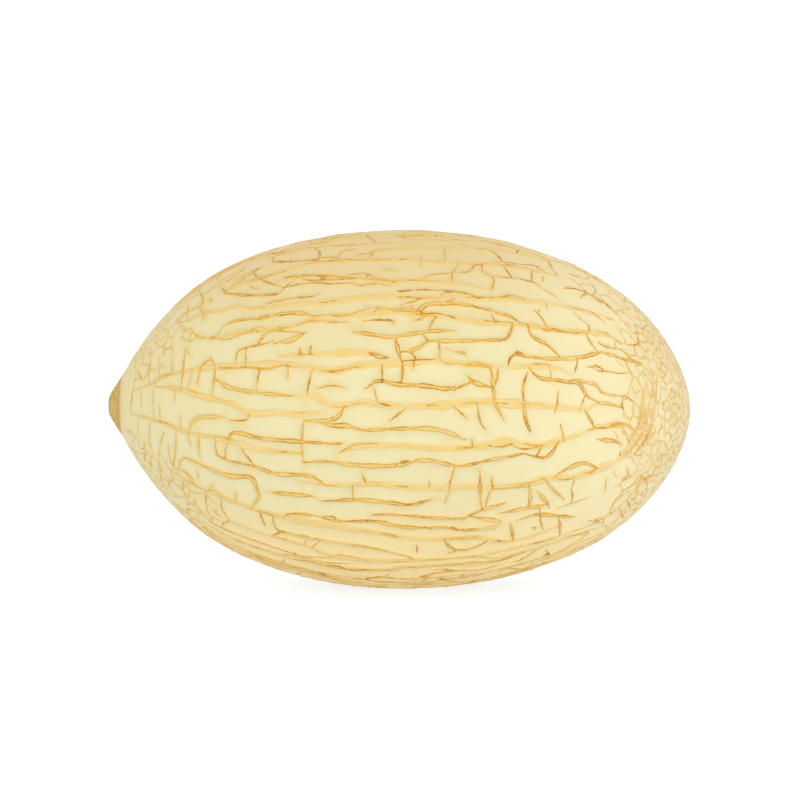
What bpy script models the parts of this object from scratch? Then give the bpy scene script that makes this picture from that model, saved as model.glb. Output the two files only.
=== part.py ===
"""A whole oval melon with a raised corky net, picked and lying on its side.

It grew as one piece, so it is one closed solid: the body is turned from a profile and bent a little,
and the net, the stem scar and the blossom scar are raised from its skin by formulas. The long axis
lies along X with the stem end at -X, the front is at -Y, and the melon rests on a small flat spot
under its widest place, on Z = 0.
"""

import math
import random
from collections import namedtuple

import bpy
import numpy as np
from mathutils import Vector
from mathutils.geometry import delaunay_2d_cdt

# Driving sizes of the body, in metres
LENGTH = 0.2390
WIDEST_STATION = 0.1216
HALF_HEIGHT = 0.0731
WIDTH_SHARE = 1.02
STEM_FULLNESS = 0.531
STEM_TAPER = 0.284
STEM_TAPER_POWER = 4
BLOSSOM_FULLNESS = 0.498
BLOSSOM_TAPER = 0.0675
BLOSSOM_TAPER_POWER = 7
NOSE_RADIUS = 0.0107
NOSE_BLEND = 9
STEM_RISE = 0.0017
STEM_RISE_REACH = 0.110
STEM_RISE_POWER = 1.5
FLAT_DEPTH = 0.0005
FLAT_HALF_LENGTH = 0.0140
FLAT_HALF_WIDTH = 0.0088
FLAT_CORNERS = 14
FLAT_FIRST_CORNER = 0.25
FLAT_MARGIN = 1.15

# Net: half widths and heights of its cords, in metres
BAND_HALF_WIDTH = 0.0020
BAND_HEIGHT = 0.0009
CORD_HALF_WIDTH = 0.0016
CORD_HEIGHT = 0.0010
CORD_STEP = 0.0075
CURVE_STEPS = 24
SHORTEST_CORD = 0.0045
JOIN_REACH = 0.0026
TIP_SHARE = 0.35
LEAST_GAP = 0.0012
FOOT_SHARE = 0.8
FILL_STEP = 0.0115
FILL_STEP_AT_POLE = 0.0030
FILL_STEP_GROWTH = 0.30
FILL_GAP_SHARE = 0.60
LEAST_FILLING = 6
ROW_SHARE = 0.87
MOST_POINTS = 12000
CHART_MERGE = 1e-6
NET_SEED = 7

# Scars at the two ends, in metres
Scar = namedtuple("Scar", "radius rim height pit_radius pit_depth")
STEM_SCAR = Scar(0.0142, 0.0110, 0.0004, 0.0022, 0.0012)
BLOSSOM_SCAR = Scar(0.0052, 0.0026, 0.0004, 0.0015, 0.0004)
STEM_SCAR_TURN = 0.0022
STEM_SCAR_RINGS = ((0.0012, 7), (0.0026, 7), (0.0052, 12), (0.0082, 16), (0.0110, 20), (0.0142, 22))
SCAR_GAP = 0.0008
DISH_SHARE = 0.45
BLOSSOM_RINGS = ((0.0026, 10), (0.0052, 14))

# Soft broad bands of the net, each a route of (millimetres from the stem tip, degrees up from the front)
BANDS = (
    ((15, 16), (22, 17.5), (29, 19), (44, 19), (60, 18), (76, 17.3), (88, 15.4), (96, 14.6), (104, 16),
     (118, 16.8), (134, 17.4), (148, 16.4), (164, 16.6), (176, 17.4), (186, 16)),
    ((74, 20.2), (90, 20), (106, 20), (116, 18.4)),
    ((25, 14.4), (33, 12), (42, 8.3), (50, 6), (57, 4.3), (63, 1.4), (74, 1.6), (83, 1.2), (91, 2)),
    ((78, 7), (88, 7), (92, 4.8), (98, 3.8), (106, 5), (116, 4.1), (132, 4), (148, 5), (166, 4.6), (180, 3.6),
     (190, 3), (196, 5.4), (204, 5)),
    ((13, -6), (18, -4.8), (28, -6), (38, -8), (50, -8.6), (60, -9.7), (68, -11), (83, -10.8)),
    ((97, -10.4), (104, -8), (118, -7.6), (134, -8.5), (150, -8.2), (159, -7), (172, -9), (184, -7),
     (192, -4.6), (201, -3.2), (208, -4.4), (211, -8.6)),
    ((82, -20.2), (96, -20.6), (110, -19.5), (126, -20.6), (150, -21), (166, -22), (176, -20.8), (188, -22),
     (197, -20.6), (204, -19), (210, -14), (214, -8), (216, 2), (218, 14), (219, 26)),
    ((29, -31), (40, -32.6), (54, -33.5), (68, -34.5), (82, -35.5), (98, -36), (112, -37.3), (120, -38.6),
     (134, -40), (149, -40.6), (155, -43), (166, -45), (180, -43)),
    ((54, -44.6), (69, -45.5), (84, -46.6), (92, -49.8), (108, -50.8), (125, -50), (145, -50), (168, -49),
     (192, -49)),
    ((41, -58), (45, -56), (54, -57.4), (70, -56.3), (86, -57), (108, -57), (122, -54), (138, -53.6),
     (156, -55.4), (168, -52.6), (186, -52), (194, -55), (190, -58.4), (183, -61)),
    ((48, 30.5), (60, 31), (78, 30), (90, 32.6), (104, 32.4), (118, 33.4), (132, 32), (150, 30.6),
     (168, 31.4), (186, 32), (198, 34.6), (206, 34)),
    ((44, 46.5), (50, 43.6), (57, 43), (64, 40), (78, 38.6), (92, 38), (110, 38.8), (130, 38.2), (150, 39.4),
     (168, 41.2), (186, 42.6), (204, 44.6)),
    ((72, 51), (86, 50), (98, 48), (112, 45.4), (128, 45), (142, 44.8), (153, 43.4)),
    ((52, 54.6), (68, 55.2), (84, 57), (98, 56.4), (116, 55.4), (138, 54.8), (152, 56),
     (168, 58), (184, 59.4)),
    ((103, 58.6), (114, 61), (130, 62.5), (146, 65), (160, 68), (178, 70)),
    ((61, 76), (64, 71), (76, 69.4), (92, 68), (106, 66.5), (126, 67)),
)

# Crisp split cords between the bands, read the same way
CORDS = (
    ((50, 14), (55, 10.5), (62, 8.8), (70, 7.8), (80, 7)),
    ((39, -7), (40, -4), (44, -1), (53, -0.4)),
    ((55, -9), (56, -6.2), (60, -5.8), (68, -7), (85, -7.2), (98, -7.5)),
    ((50, -14.7), (54, -16.4), (64, -16.9), (73, -18.6), (84, -18), (92, -19.4)),
    ((60, -11.5), (65, -16.6)),
    ((35, -22.4), (38, -20.3), (46, -21.6), (55, -22.6), (63, -21.3), (65.5, -25), (66, -29), (63, -33)),
    ((71, -25.8), (80, -25.2), (88, -25)),
    ((90, -26.5), (104, -25), (116, -25.6), (124, -26.3), (133, -24.3)),
    ((84, -14), (92, -13), (104, -13.7), (118, -13.6), (130, -12), (142, -14), (154, -12.5), (167, -11.3)),
    ((169, -12.2), (175, -13), (180, -9.4)),
    ((84, -0.8), (95, 0), (100, 3.8)),
    ((90, -2), (105, -1.7)),
    ((102, -3.5), (116, -2.7), (130, -2.6), (138, -3.8), (144, -6)),
    ((89, 9.3), (95, 10.1), (100, 9.3)),
    ((107, 9), (112, 11.3), (120, 10.2), (130, 9.8), (141, 8.3)),
    ((144.5, 13.5), (148, 11), (155, 9.5)),
    ((154, 16), (155, 10), (155.5, 5), (159, -0.6)),
    ((148.5, 5), (150, -1), (152, -3)),
    ((139, 4.5), (145, 0.3)),
    ((116, -0.5), (123, 4)),
    ((166.5, 14), (166, 9), (166.5, 4), (167, 0), (169, -4.5)),
    ((168, 15.2), (173, 13.2), (182, 12.8), (188, 12), (191, 8), (196, 5.6)),
    ((184, 14.4), (190, 13), (194.5, 12.4), (197, 9.6), (204, 8)),
    ((179.5, 9), (179, 4), (178, 1.4)),
    ((190, 3), (194, -4)),
    ((180.5, -2), (182, -8)),
    ((195, -8.5), (206, -11)),
    ((178, -20.4), (184, -18), (190, -17), (196, -20.4)),
    ((102, 26.8), (114, 25), (118, 24.8), (130, 26.5), (141, 27.2)),
    ((118, 24.8), (119.5, 20), (120.5, 17)),
    ((128, 26), (130, 23.6), (126, 21), (120, 19.8)),
    ((130, 23.6), (142, 23.8), (155, 24.8), (160, 25.6), (162, 29), (162.5, 31)),
    ((160, 17), (163, 20.4), (174, 20), (186, 21.4), (193, 24), (198, 26), (206, 25.4), (212, 26), (217, 24)),
    ((135, 22), (136, 18)),
    ((168, 31), (170, 27.5), (176, 24.8), (181, 21)),
    ((176, 18), (177, 14), (176.5, 13)),
    ((66, 26.5), (70, 29), (78, 30)),
    ((72, 26), (78, 25), (86, 28)),
    ((40, 40), (41, 35.5), (48, 30.5)),
    ((50, 32), (54, 36), (66, 35.5), (80, 35), (88, 33)),
    ((113, 34), (126, 33.6), (131, 36), (144, 36.6), (158, 34.4), (166, 32)),
    ((119, 41), (132, 41.5), (144, 41.3), (150, 39.6)),
    ((173, 37.5), (176, 31.4)),
    ((186, 42), (192, 37.6), (193, 32.5)),
    ((41, 65), (42.5, 55), (42, 50), (45, 42)),
    ((31, 54), (34, 48), (42, 44.4)),
    ((51, 58), (51.5, 53.5), (57, 49), (66, 45.4), (73, 44), (76, 47), (80, 50.4)),
    ((54, 59), (60, 61), (66, 63)),
    ((62, 61), (64, 57), (68, 52), (74, 47)),
    ((44, 63.5), (51, 64.6), (59, 67.6)),
    ((69, 68), (71, 63), (80, 60.4), (92, 57.2)),
    ((86, 69), (88.5, 64), (88.5, 58)),
    ((108, 74), (110.5, 67)),
    ((127, 47), (133, 48), (140, 50), (143, 54.6)),
    ((139.5, 45), (140.5, 50)),
    ((152, 56), (152, 51.4), (156, 49), (155, 43.6)),
    ((155, 50), (170, 51), (175, 48.5), (181, 45.6)),
    ((153, 67), (157, 65), (160, 60), (162, 57.4)),
    ((137.5, 63), (137.5, 55)),
    ((184, 54), (192, 54.7), (200, 53.8), (205, 49.6), (208, 44)),
    ((179, 73), (180, 64), (182, 59.4)),
    ((213, 43), (213, 37), (208, 33.6)),
    ((88, -32.3), (96, -33.4), (110, -32.5), (122, -34.6), (142, -35.2)),
    ((75, -35), (79, -32.8), (88, -32.3)),
    ((109, -30.3), (118, -29.9), (136, -31.5), (144, -32), (151, -29.4), (160, -27.8)),
    ((140, -37), (155, -36.8), (158, -35), (150, -32.4), (146, -31.8)),
    ((71, -35), (72, -40), (75, -41.8), (90, -42.5), (108, -43.7), (121, -47), (126, -49.8)),
    ((75, -41.8), (70, -45.4)),
    ((126.5, -42), (126.5, -46)),
    ((137, -41), (140, -44.6), (145, -46), (151, -44.4), (154, -42.6)),
    ((36, -33), (35, -40), (38, -46), (44, -48.4)),
    ((45, -33), (44.5, -41), (46, -47), (52, -47)),
    ((51, -34), (51, -39), (53.5, -44.4), (51, -48), (50, -52)),
    ((66, -34.6), (68, -41)),
    ((36, -60), (35.5, -54), (42, -49), (46, -52), (50, -52), (66, -51.5), (82, -53), (96, -50.6)),
    ((28, -50), (29, -42), (31, -36), (30, -31)),
    ((158, -31.6), (168, -30.9), (177, -31.6)),
    ((169, -22.2), (169.5, -27), (169, -31)),
    ((175, -21.6), (178, -25), (182, -29.6)),
    ((172, -25), (177, -31)),
    ((150, -16.4), (150, -21), (150.6, -29)),
    ((155, -21.2), (153, -25), (152.4, -28.6)),
    ((166, -35.4), (173, -34.6), (182, -38), (188, -40.6)),
    ((162, -36), (164, -44)),
    ((173, -36), (175, -41.6)),
    ((180.5, -38.4), (182, -43), (182, -48.6)),
    ((166, -60), (173, -54), (176, -52)),
    ((202.5, -50), (203, -43), (206, -37.6), (213, -35.4), (220, -38)),
    ((213, -36), (213, -47)),
    ((207, -50), (209, -60)),
    ((195, -46), (199, -42), (204, -39)),
    ((107, -66), (107, -63.6), (114, -61.5), (123, -63.6), (131, -62.4), (142, -66)),
    ((62, -62), (78, -63.6), (94, -64), (107, -64.6)),
)

# Short rungs across the bands near the stem end and on the flank, read the same way
RUNGS = (
    ((24, 17), (23.7, 8), (24, -2)),
    ((18, 14), (18, 2)),
    ((26.5, 4), (26.6, -6)),
    ((35.5, -1), (35.6, -7.6)),
    ((21, 33), (21.4, 18)),
    ((25.5, 33), (26.4, 18)),
    ((31.5, 27), (32, 19)),
    ((37, 30.5), (36.4, 19), (36, 12)),
    ((43.6, 18), (42.4, 12)),
    ((49.5, 18), (49, 8.4)),
    ((33, 11), (33, 6)),
    ((17, -7), (16, -18), (16, -30)),
    ((22, -6), (21.6, -18), (23, -30)),
    ((28, -11), (26, -22), (25, -31)),
    ((33.6, -8), (33, -19), (31, -30)),
    ((43, -9), (43, -17.6)),
    ((49.8, -9), (49.6, -17)),
    ((67, 17), (66, 10)),
    ((78, 17), (78, 12.6)),
    ((87, 14.5), (85, 7.6)),
    ((84, 0), (83.4, -6), (83.4, -14.4)),
    ((113.5, 16), (113.5, 12.6)),
    ((121, 16.8), (121, 11.4)),
    ((111, 9), (111.6, 5)),
    ((106, -17), (107.4, -19.8)),
    ((140, -15.8), (138, -20.4)),
    ((154.5, -18), (154.5, -21)),
    ((102, -21), (102.6, -24.8)),
    ((139, -21), (137, -26)),
    ((128.4, 58), (128, 52.6)),
    ((171.6, 58), (171, 53)),
    ((57, -29), (57, -33.4)),
)

# Hidden parts of the net: strips over the top and underneath, in millimetres and degrees round
STRIP_ANGLES = (90, -90)
STRIP_HALF_SPAN = 17
STRIP_SPACING = 8.5
STRIP_START_MM = 24
STRIP_START_SPREAD = 14
STRIP_END_MM = 204
STRIP_END_SPREAD = (-8, 4)
STRIP_SHORTEST = 20
STRIP_PIECE_MM = (38, 74)
STRIP_BREAK_MM = (4, 12)
STRIP_POINT_GAP = 13
STRIP_WANDER = 2.0
RUNG_CHANCE = 0.75
RUNG_INSET = 5
RUNG_SLANT = 4
RUNG_REACH = (0.6, 1.0)

# The back's net: how far a front route is shifted there, in millimetres and degrees, and over what distances
BACK_WARP_MM = 5.0
BACK_WARP_TURN = 19
BACK_WARP_START = 1.3
BACK_SWAY = ((3.0, 17, 31), (1.6, 7.3, math.inf))
FRONT_END_MM = 215

# Cells round the blossom end: how far apart, from where to where, and what share of their borders is there
Cells = namedtuple("Cells", "spacing first_mm full_mm last_mm share")
CAP = Cells(0.0122, 206, 214, 237.6, 0.88)
FEWEST_CELLS = 5
CELL_SCATTER = 0.36
CELL_BEND = 0.14

SKIN_COLOUR = (0.86, 0.71, 0.37, 1.0)
SKIN_ROUGHNESS = 0.5


def clear_scene():
    for thing in list(bpy.data.objects):
        bpy.data.objects.remove(thing, do_unlink=True)


def radius_at(station):
    """The radius of the body at each station, before its width share."""
    station = np.asarray(station, float)
    stem_side = station < WIDEST_STATION
    reach = np.where(stem_side, WIDEST_STATION, LENGTH - WIDEST_STATION)
    share = np.clip(np.abs(station - WIDEST_STATION) / reach, 0, 1)
    stem_power = STEM_FULLNESS + STEM_TAPER * share**STEM_TAPER_POWER
    blossom_power = BLOSSOM_FULLNESS + BLOSSOM_TAPER * share**BLOSSOM_TAPER_POWER
    body = HALF_HEIGHT * (1 - share**2) ** np.where(stem_side, stem_power, blossom_power)
    nose = np.sqrt(np.clip(station * (2 * NOSE_RADIUS - station), 0, None)) * (station < NOSE_RADIUS)
    return (body**NOSE_BLEND + nose**NOSE_BLEND) ** (1 / NOSE_BLEND)


class Skin:
    """The smooth body, with places given by latitude and angle.

    The latitude is the integral of arc length over radius, so a small shape keeps its angles between
    the skin and the flat (latitude, angle) chart.
    """

    def __init__(self, samples=3000):
        turn = np.linspace(0, math.pi, samples + 1)[1:-1]
        front = WIDEST_STATION * (1 - np.cos(turn))
        rear = WIDEST_STATION - (LENGTH - WIDEST_STATION) * np.cos(turn)
        self.station = np.where(turn < math.pi / 2, front, rear)
        self.radius = radius_at(self.station)
        ahead, out = np.diff(self.station), np.diff(self.radius)
        arc = np.hypot(ahead, out)
        middle_radius = (self.radius[1:] + self.radius[:-1]) / 2
        self.latitude = np.concatenate([[0], np.cumsum(arc / middle_radius)])
        self.latitude -= np.interp(WIDEST_STATION, self.station, self.latitude)
        slope = np.gradient(self.radius) / np.gradient(self.station)
        self.normal_ahead = -slope / np.hypot(1, slope)
        self.normal_out = 1 / np.hypot(1, slope)

    def latitude_of(self, station):
        return np.interp(station, self.station, self.latitude)

    def station_of(self, latitude):
        return float(np.interp(latitude, self.latitude, self.station))

    def latitude_of_end(self, radius, blossom):
        """The latitude of the ring of this radius near one of the two ends."""
        half = self.station > WIDEST_STATION if blossom else self.station < WIDEST_STATION
        radii, latitudes = self.radius[half], self.latitude[half]
        order = np.argsort(radii)
        return float(np.interp(radius, radii[order], latitudes[order]))

    def radius_of(self, latitude):
        return np.interp(latitude, self.latitude, self.radius)

    def places(self, latitude, angle, lift=0.0):
        """Points over the skin as an array of (x, y, z), with z measured from the long axis."""
        station = np.interp(latitude, self.latitude, self.station)
        radius = self.radius_of(latitude) + lift * np.interp(latitude, self.latitude, self.normal_out)
        ahead = station + lift * np.interp(latitude, self.latitude, self.normal_ahead)
        bend_share = np.clip((STEM_RISE_REACH - station) / STEM_RISE_REACH, 0, 1)
        rise = STEM_RISE * bend_share**STEM_RISE_POWER
        aside = -WIDTH_SHARE * radius * np.cos(angle)
        return np.stack([ahead - LENGTH / 2, aside, radius * np.sin(angle) + rise], axis=-1)


def smooth_route(skin, route, step):
    """Evenly spaced (latitude, angle) points along a smooth curve through a route's own points."""
    knots = np.array([(float(skin.latitude_of(mm / 1000)), math.radians(deg)) for mm, deg in route])
    knots = np.vstack([2 * knots[0] - knots[1], knots, 2 * knots[-1] - knots[-2]])
    share = np.linspace(0, 1, CURVE_STEPS, endpoint=False)[:, None]
    pieces = []
    for before, start, end, after in zip(knots, knots[1:], knots[2:], knots[3:]):
        pieces.append(
            0.5 * (2 * start + (end - before) * share
                   + (2 * before - 5 * start + 4 * end - after) * share**2
                   + (3 * start - before - 3 * end + after) * share**3)
        )
    fine = np.vstack(pieces + [knots[-2:-1]])
    stretch = skin.radius_of((fine[1:, 0] + fine[:-1, 0]) / 2)
    along = np.concatenate([[0], np.cumsum(np.hypot(*np.diff(fine, axis=0).T) * stretch)])
    count = max(2, round(along[-1] / step) + 1)
    even = np.linspace(0, along[-1], count)
    points = np.stack([np.interp(even, along, fine[:, 0]), np.interp(even, along, fine[:, 1])], axis=1)
    return points, along[-1]


def back_route(route):
    """A front route turned half round to the back, and warped so that it isn't the same again."""
    turned = []
    for mm, deg in route:
        bow = math.sin(math.pi * mm / (1000 * LENGTH))
        ahead = BACK_WARP_MM * math.sin(deg / BACK_WARP_TURN + BACK_WARP_START) * bow
        sway = sum(share * math.sin(mm / along + deg / across) for share, along, across in BACK_SWAY)
        turned.append((mm + ahead, 180 + deg + sway))
    return turned


def strip_routes(rng):
    """Long cords with breaks, and rungs between neighbours, over the top and underneath."""
    bands, rungs = [], []
    for centre in STRIP_ANGLES:
        count = round(2 * STRIP_HALF_SPAN / STRIP_SPACING) + 1
        for line in range(count):
            angle = centre - STRIP_HALF_SPAN + 2 * STRIP_HALF_SPAN * line / (count - 1)
            mm = STRIP_START_MM + rng.uniform(0, STRIP_START_SPREAD)
            while mm < STRIP_END_MM - STRIP_SHORTEST:
                piece = rng.uniform(*STRIP_PIECE_MM)
                end = min(mm + piece, STRIP_END_MM + rng.uniform(*STRIP_END_SPREAD))
                steps = max(2, round((end - mm) / STRIP_POINT_GAP))
                points = [
                    (mm + (end - mm) * k / steps, angle + rng.uniform(-STRIP_WANDER, STRIP_WANDER))
                    for k in range(steps + 1)
                ]
                bands.append(points)
                if rng.random() < RUNG_CHANCE:
                    at = rng.uniform(mm + RUNG_INSET, end - RUNG_INSET)
                    reach = rng.choice((-1, 1)) * STRIP_SPACING * rng.uniform(*RUNG_REACH)
                    rungs.append([(at, angle), (at + rng.uniform(-RUNG_SLANT, RUNG_SLANT), angle + reach)])
                mm = end + rng.uniform(*STRIP_BREAK_MM)
    return bands, rungs


def cell_seeds(skin, rng, first, last):
    """Scattered middles of cells on the round map, in staggered rows from one latitude to another."""
    seeds = []
    latitude, row = first, 0
    while latitude < last:
        count = max(FEWEST_CELLS, round(math.tau * float(skin.radius_of(latitude)) / CAP.spacing))
        step = math.tau / count
        for k in range(count):
            ahead = latitude + rng.uniform(-CELL_SCATTER, CELL_SCATTER) * step
            angle = (k + 0.5 * (row % 2) + rng.uniform(-CELL_SCATTER, CELL_SCATTER)) * step
            seeds.append(Vector((math.exp(ahead) * math.cos(angle), math.exp(ahead) * math.sin(angle))))
        latitude += ROW_SHARE * step
        row += 1
    return seeds


def cap_routes(skin, rng):
    """The borders of the cells round the blossom end, each with a small bend in its middle."""
    first, last = (float(skin.latitude_of(mm / 1000)) for mm in (CAP.first_mm, CAP.last_mm))
    seeds, _, faces, _, _, _ = delaunay_2d_cdt(cell_seeds(skin, rng, first, last), [], [], 0, CHART_MERGE)
    centres = [middle_of(*(complex(*seeds[corner]) for corner in face)) for face in faces]
    borders = {}
    for index, corners in enumerate(faces):
        for pair in zip(corners, corners[1:] + corners[:1]):
            borders.setdefault(frozenset(pair), []).append(index)
    routes = []
    for sides in borders.values():
        ends = [spot_of(centres[side]) for side in sides]
        if len(ends) < 2 or min(ends)[0] < first or max(ends)[0] > last:
            continue
        start, end = ends
        ahead = end[0] - start[0]
        turned = (end[1] - start[1] + math.pi) % math.tau - math.pi
        bend = rng.uniform(-CELL_BEND, CELL_BEND)
        middle = (start[0] + ahead / 2 - bend * turned, start[1] + turned / 2 + bend * ahead)
        spots = (start, middle, (end[0], start[1] + turned))
        route = [(1000 * skin.station_of(latitude), math.degrees(angle)) for latitude, angle in spots]
        if rng.random() < np.interp(route[1][0], (CAP.first_mm, CAP.full_mm), (0, CAP.share)):
            routes.append(route)
    return routes


def middle_of(a, b, c):
    """The middle of the circle through three points of the round map."""
    b, c = b - a, c - a
    across = 2 * (b.real * c.imag - b.imag * c.real)
    return a - 1j * (c * abs(b) ** 2 - b * abs(c) ** 2) / across


def in_front_of_cap(route):
    """The part of a front route that stops short of the cap."""
    return [(mm, deg) for mm, deg in route if mm <= FRONT_END_MM]


def all_routes(skin):
    """Every route of the net with the half width and the height of its cord."""
    rng = random.Random(NET_SEED)
    strip_bands, strip_rungs = strip_routes(rng)
    broad = [list(route) for route in BANDS] + [back_route(route) for route in BANDS] + strip_bands
    crisp = [list(route) for route in CORDS + RUNGS] + [back_route(route) for route in CORDS + RUNGS]
    routes = [(route, BAND_HALF_WIDTH, BAND_HEIGHT) for route in map(in_front_of_cap, broad)]
    routes += [(route, CORD_HALF_WIDTH, CORD_HEIGHT) for route in map(in_front_of_cap, crisp + strip_rungs)]
    routes += [(route, CORD_HALF_WIDTH, CORD_HEIGHT) for route in cap_routes(skin, rng)]
    return [(route, wide, high) for route, wide, high in routes if len(route) > 1]


class Net:
    """The cords of the net as short straight pieces, and the lift that they give to a place."""

    def __init__(self, skin):
        self.skin = skin
        self.cords = []
        for route, half_width, height in all_routes(skin):
            points, length = smooth_route(skin, route, CORD_STEP)
            if length >= SHORTEST_CORD:
                self.cords.append((points, half_width, height))
        self.join_ends()
        starts, ends, start_heights, end_heights, widths = [], [], [], [], []
        for points, half_width, height in self.cords:
            places = skin.places(points[:, 0], points[:, 1])
            heights = np.full(len(points), height)
            heights[[0, -1]] *= TIP_SHARE
            starts.append(places[:-1])
            ends.append(places[1:])
            start_heights.append(heights[:-1])
            end_heights.append(heights[1:])
            widths.append(np.full(len(points) - 1, half_width))
        self.starts, self.ends = np.vstack(starts), np.vstack(ends)
        self.start_heights, self.end_heights = np.concatenate(start_heights), np.concatenate(end_heights)
        self.widths = np.concatenate(widths)

    def join_ends(self):
        """Moves a loose end that all but touches another cord onto that cord's nearest point."""
        places = [self.skin.places(points[:, 0], points[:, 1]) for points, _, _ in self.cords]
        for index, (points, _, _) in enumerate(self.cords):
            for end in (0, -1):
                here = places[index][end]
                best, target = JOIN_REACH, None
                for other, spots in enumerate(places):
                    if other == index:
                        continue
                    gaps = np.linalg.norm(spots - here, axis=1)
                    nearest = int(gaps.argmin())
                    if gaps[nearest] < best:
                        best, target = gaps[nearest], self.cords[other][0][nearest]
                if target is not None:
                    turns = round((points[end][1] - target[1]) / math.tau)
                    points[end] = (target[0], target[1] + turns * math.tau)

    def lift(self, place):
        """How far a place is raised: by the highest cord there, each falling in a straight slope."""
        along = self.ends - self.starts
        squares = np.maximum((along**2).sum(axis=1), 1e-12)
        share = np.clip(((place - self.starts) * along).sum(axis=1) / squares, 0, 1)
        gap = np.linalg.norm(self.starts + share[:, None] * along - place, axis=1)
        height = self.start_heights + share * (self.end_heights - self.start_heights)
        return max(0.0, float((height * (1 - gap / self.widths)).max()))


class Points:
    """The places that the solid's triangles join, and the edges that the net's crests lay down."""

    def __init__(self, skin):
        self.skin = skin
        self.spots = []
        self.places = np.empty((MOST_POINTS, 3))
        self.crests = []
        self.flat_middle = float(skin.latitude_of(WIDEST_STATION))

    def in_flat(self, latitude, angle):
        """Whether a place lies on the flat spot, where no cord or filling point goes."""
        ahead = (latitude - self.flat_middle) * HALF_HEIGHT / FLAT_HALF_LENGTH
        turned = (angle + 1.5 * math.pi) % math.tau - math.pi
        return ahead**2 + (turned * HALF_HEIGHT / FLAT_HALF_WIDTH) ** 2 < FLAT_MARGIN**2

    def add(self, latitude, angle, gap, reuse=False):
        """Adds a point unless one is within the gap; gives its index, a near one's to reuse, or None."""
        place = self.skin.places(latitude, angle)
        count = len(self.spots)
        if count:
            gaps = ((self.places[:count] - place) ** 2).sum(axis=1)
            nearest = int(gaps.argmin())
            if gaps[nearest] < gap * gap:
                return nearest if reuse else None
        self.places[count] = place
        self.spots.append((float(latitude), float(angle)))
        return count

    def add_flat_spot(self):
        for corner in range(FLAT_CORNERS):
            turn = math.tau * (corner + FLAT_FIRST_CORNER) / FLAT_CORNERS
            latitude = self.flat_middle + FLAT_HALF_LENGTH / HALF_HEIGHT * math.cos(turn)
            self.add(latitude, -math.pi / 2 + FLAT_HALF_WIDTH / HALF_HEIGHT * math.sin(turn), 0)
        self.flat_count = len(self.spots)

    def add_stem_scar(self):
        middle = complex(stem_scar_middle(self.skin))
        scale = abs(middle) / STEM_SCAR_TURN
        self.add(*spot_of(middle), 0)
        for ring, (radius, corners) in enumerate(STEM_SCAR_RINGS):
            for corner in range(corners):
                turn = math.tau * (corner + 0.5 * (ring % 2)) / corners
                around = complex(math.cos(turn), math.sin(turn))
                self.add(*spot_of(middle + radius * scale * around), SCAR_GAP)

    def add_blossom_scar(self):
        """The rings round the blossom pole, the smallest of them the edge of the map."""
        for radius, corners in BLOSSOM_RINGS:
            latitude = self.skin.latitude_of_end(radius, blossom=True)
            for corner in range(corners):
                self.add(latitude, math.tau * corner / corners, 0)
        self.last_latitude = self.skin.latitude_of_end(BLOSSOM_RINGS[0][0], blossom=True)

    def add_net(self, net):
        """The crest of every cord, joined by edges, and then the foot points on both its sides."""
        for points, _, _ in net.cords:
            before = None
            for latitude, angle in points:
                if self.in_flat(latitude, angle) or latitude > self.last_latitude:
                    before = None
                    continue
                index = self.add(latitude, angle, LEAST_GAP, reuse=True)
                if before is not None and before != index:
                    self.crests.append((before, index))
                before = index
        for points, half_width, _ in net.cords:
            ways = np.gradient(points, axis=0)
            for (latitude, angle), way in zip(points, ways):
                reach = half_width / self.skin.radius_of(latitude) / np.hypot(*way)
                for side in (-reach, reach):
                    foot = (latitude - side * way[1], angle + side * way[0])
                    if not self.in_flat(*foot) and foot[0] < self.last_latitude:
                        self.add(*foot, FOOT_SHARE * half_width)

    def add_filling(self):
        """Points in staggered rows over the bare skin between the cords."""
        latitude = self.skin.latitude_of_end(STEM_SCAR_RINGS[-1][0], blossom=False)
        row = 0
        while latitude < self.last_latitude:
            radius = float(self.skin.radius_of(latitude))
            step = min(FILL_STEP, FILL_STEP_AT_POLE + FILL_STEP_GROWTH * radius)
            count = max(LEAST_FILLING, round(math.tau * radius / step))
            for k in range(count):
                angle = math.tau * (k + 0.5 * (row % 2)) / count
                if not self.in_flat(latitude, angle):
                    self.add(latitude, angle, FILL_GAP_SHARE * step)
            latitude += step * ROW_SHARE / radius
            row += 1


def spot_of(position):
    """The (latitude, angle) of a position on the round map."""
    return math.log(abs(position)), math.atan2(position.imag, position.real)


def stem_scar_middle(skin):
    """The scar's middle on the round map, turned a little to the front from the stem pole."""
    return math.exp(skin.latitude_of_end(STEM_SCAR_TURN, blossom=False))


def scar_lift(gap, scar):
    """A round scar's lift at a distance from its middle: a pit, a low dish and a raised rim."""
    outer = scar.height * np.clip((scar.radius - gap) / (scar.radius - scar.rim), 0, 1)
    dish = scar.height * (DISH_SHARE + (1 - DISH_SHARE) * np.clip(gap / scar.rim, 0, 1))
    pit = scar.pit_depth * np.clip(1 - gap / scar.pit_radius, 0, 1)
    return np.where(gap > scar.rim, outer, dish) - pit


def triangles_of(points):
    """The map's triangles, with the crests as edges, and the (latitude, angle) of every corner."""
    positions = [
        Vector((math.exp(latitude) * math.cos(angle), math.exp(latitude) * math.sin(angle)))
        for latitude, angle in points.spots
    ]
    corners, _, faces, _, _, _ = delaunay_2d_cdt(positions, points.crests, [], 0, CHART_MERGE)
    spots = [spot_of(complex(corner.x, corner.y)) for corner in corners]
    return spots, [tuple(face) for face in faces]


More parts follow.
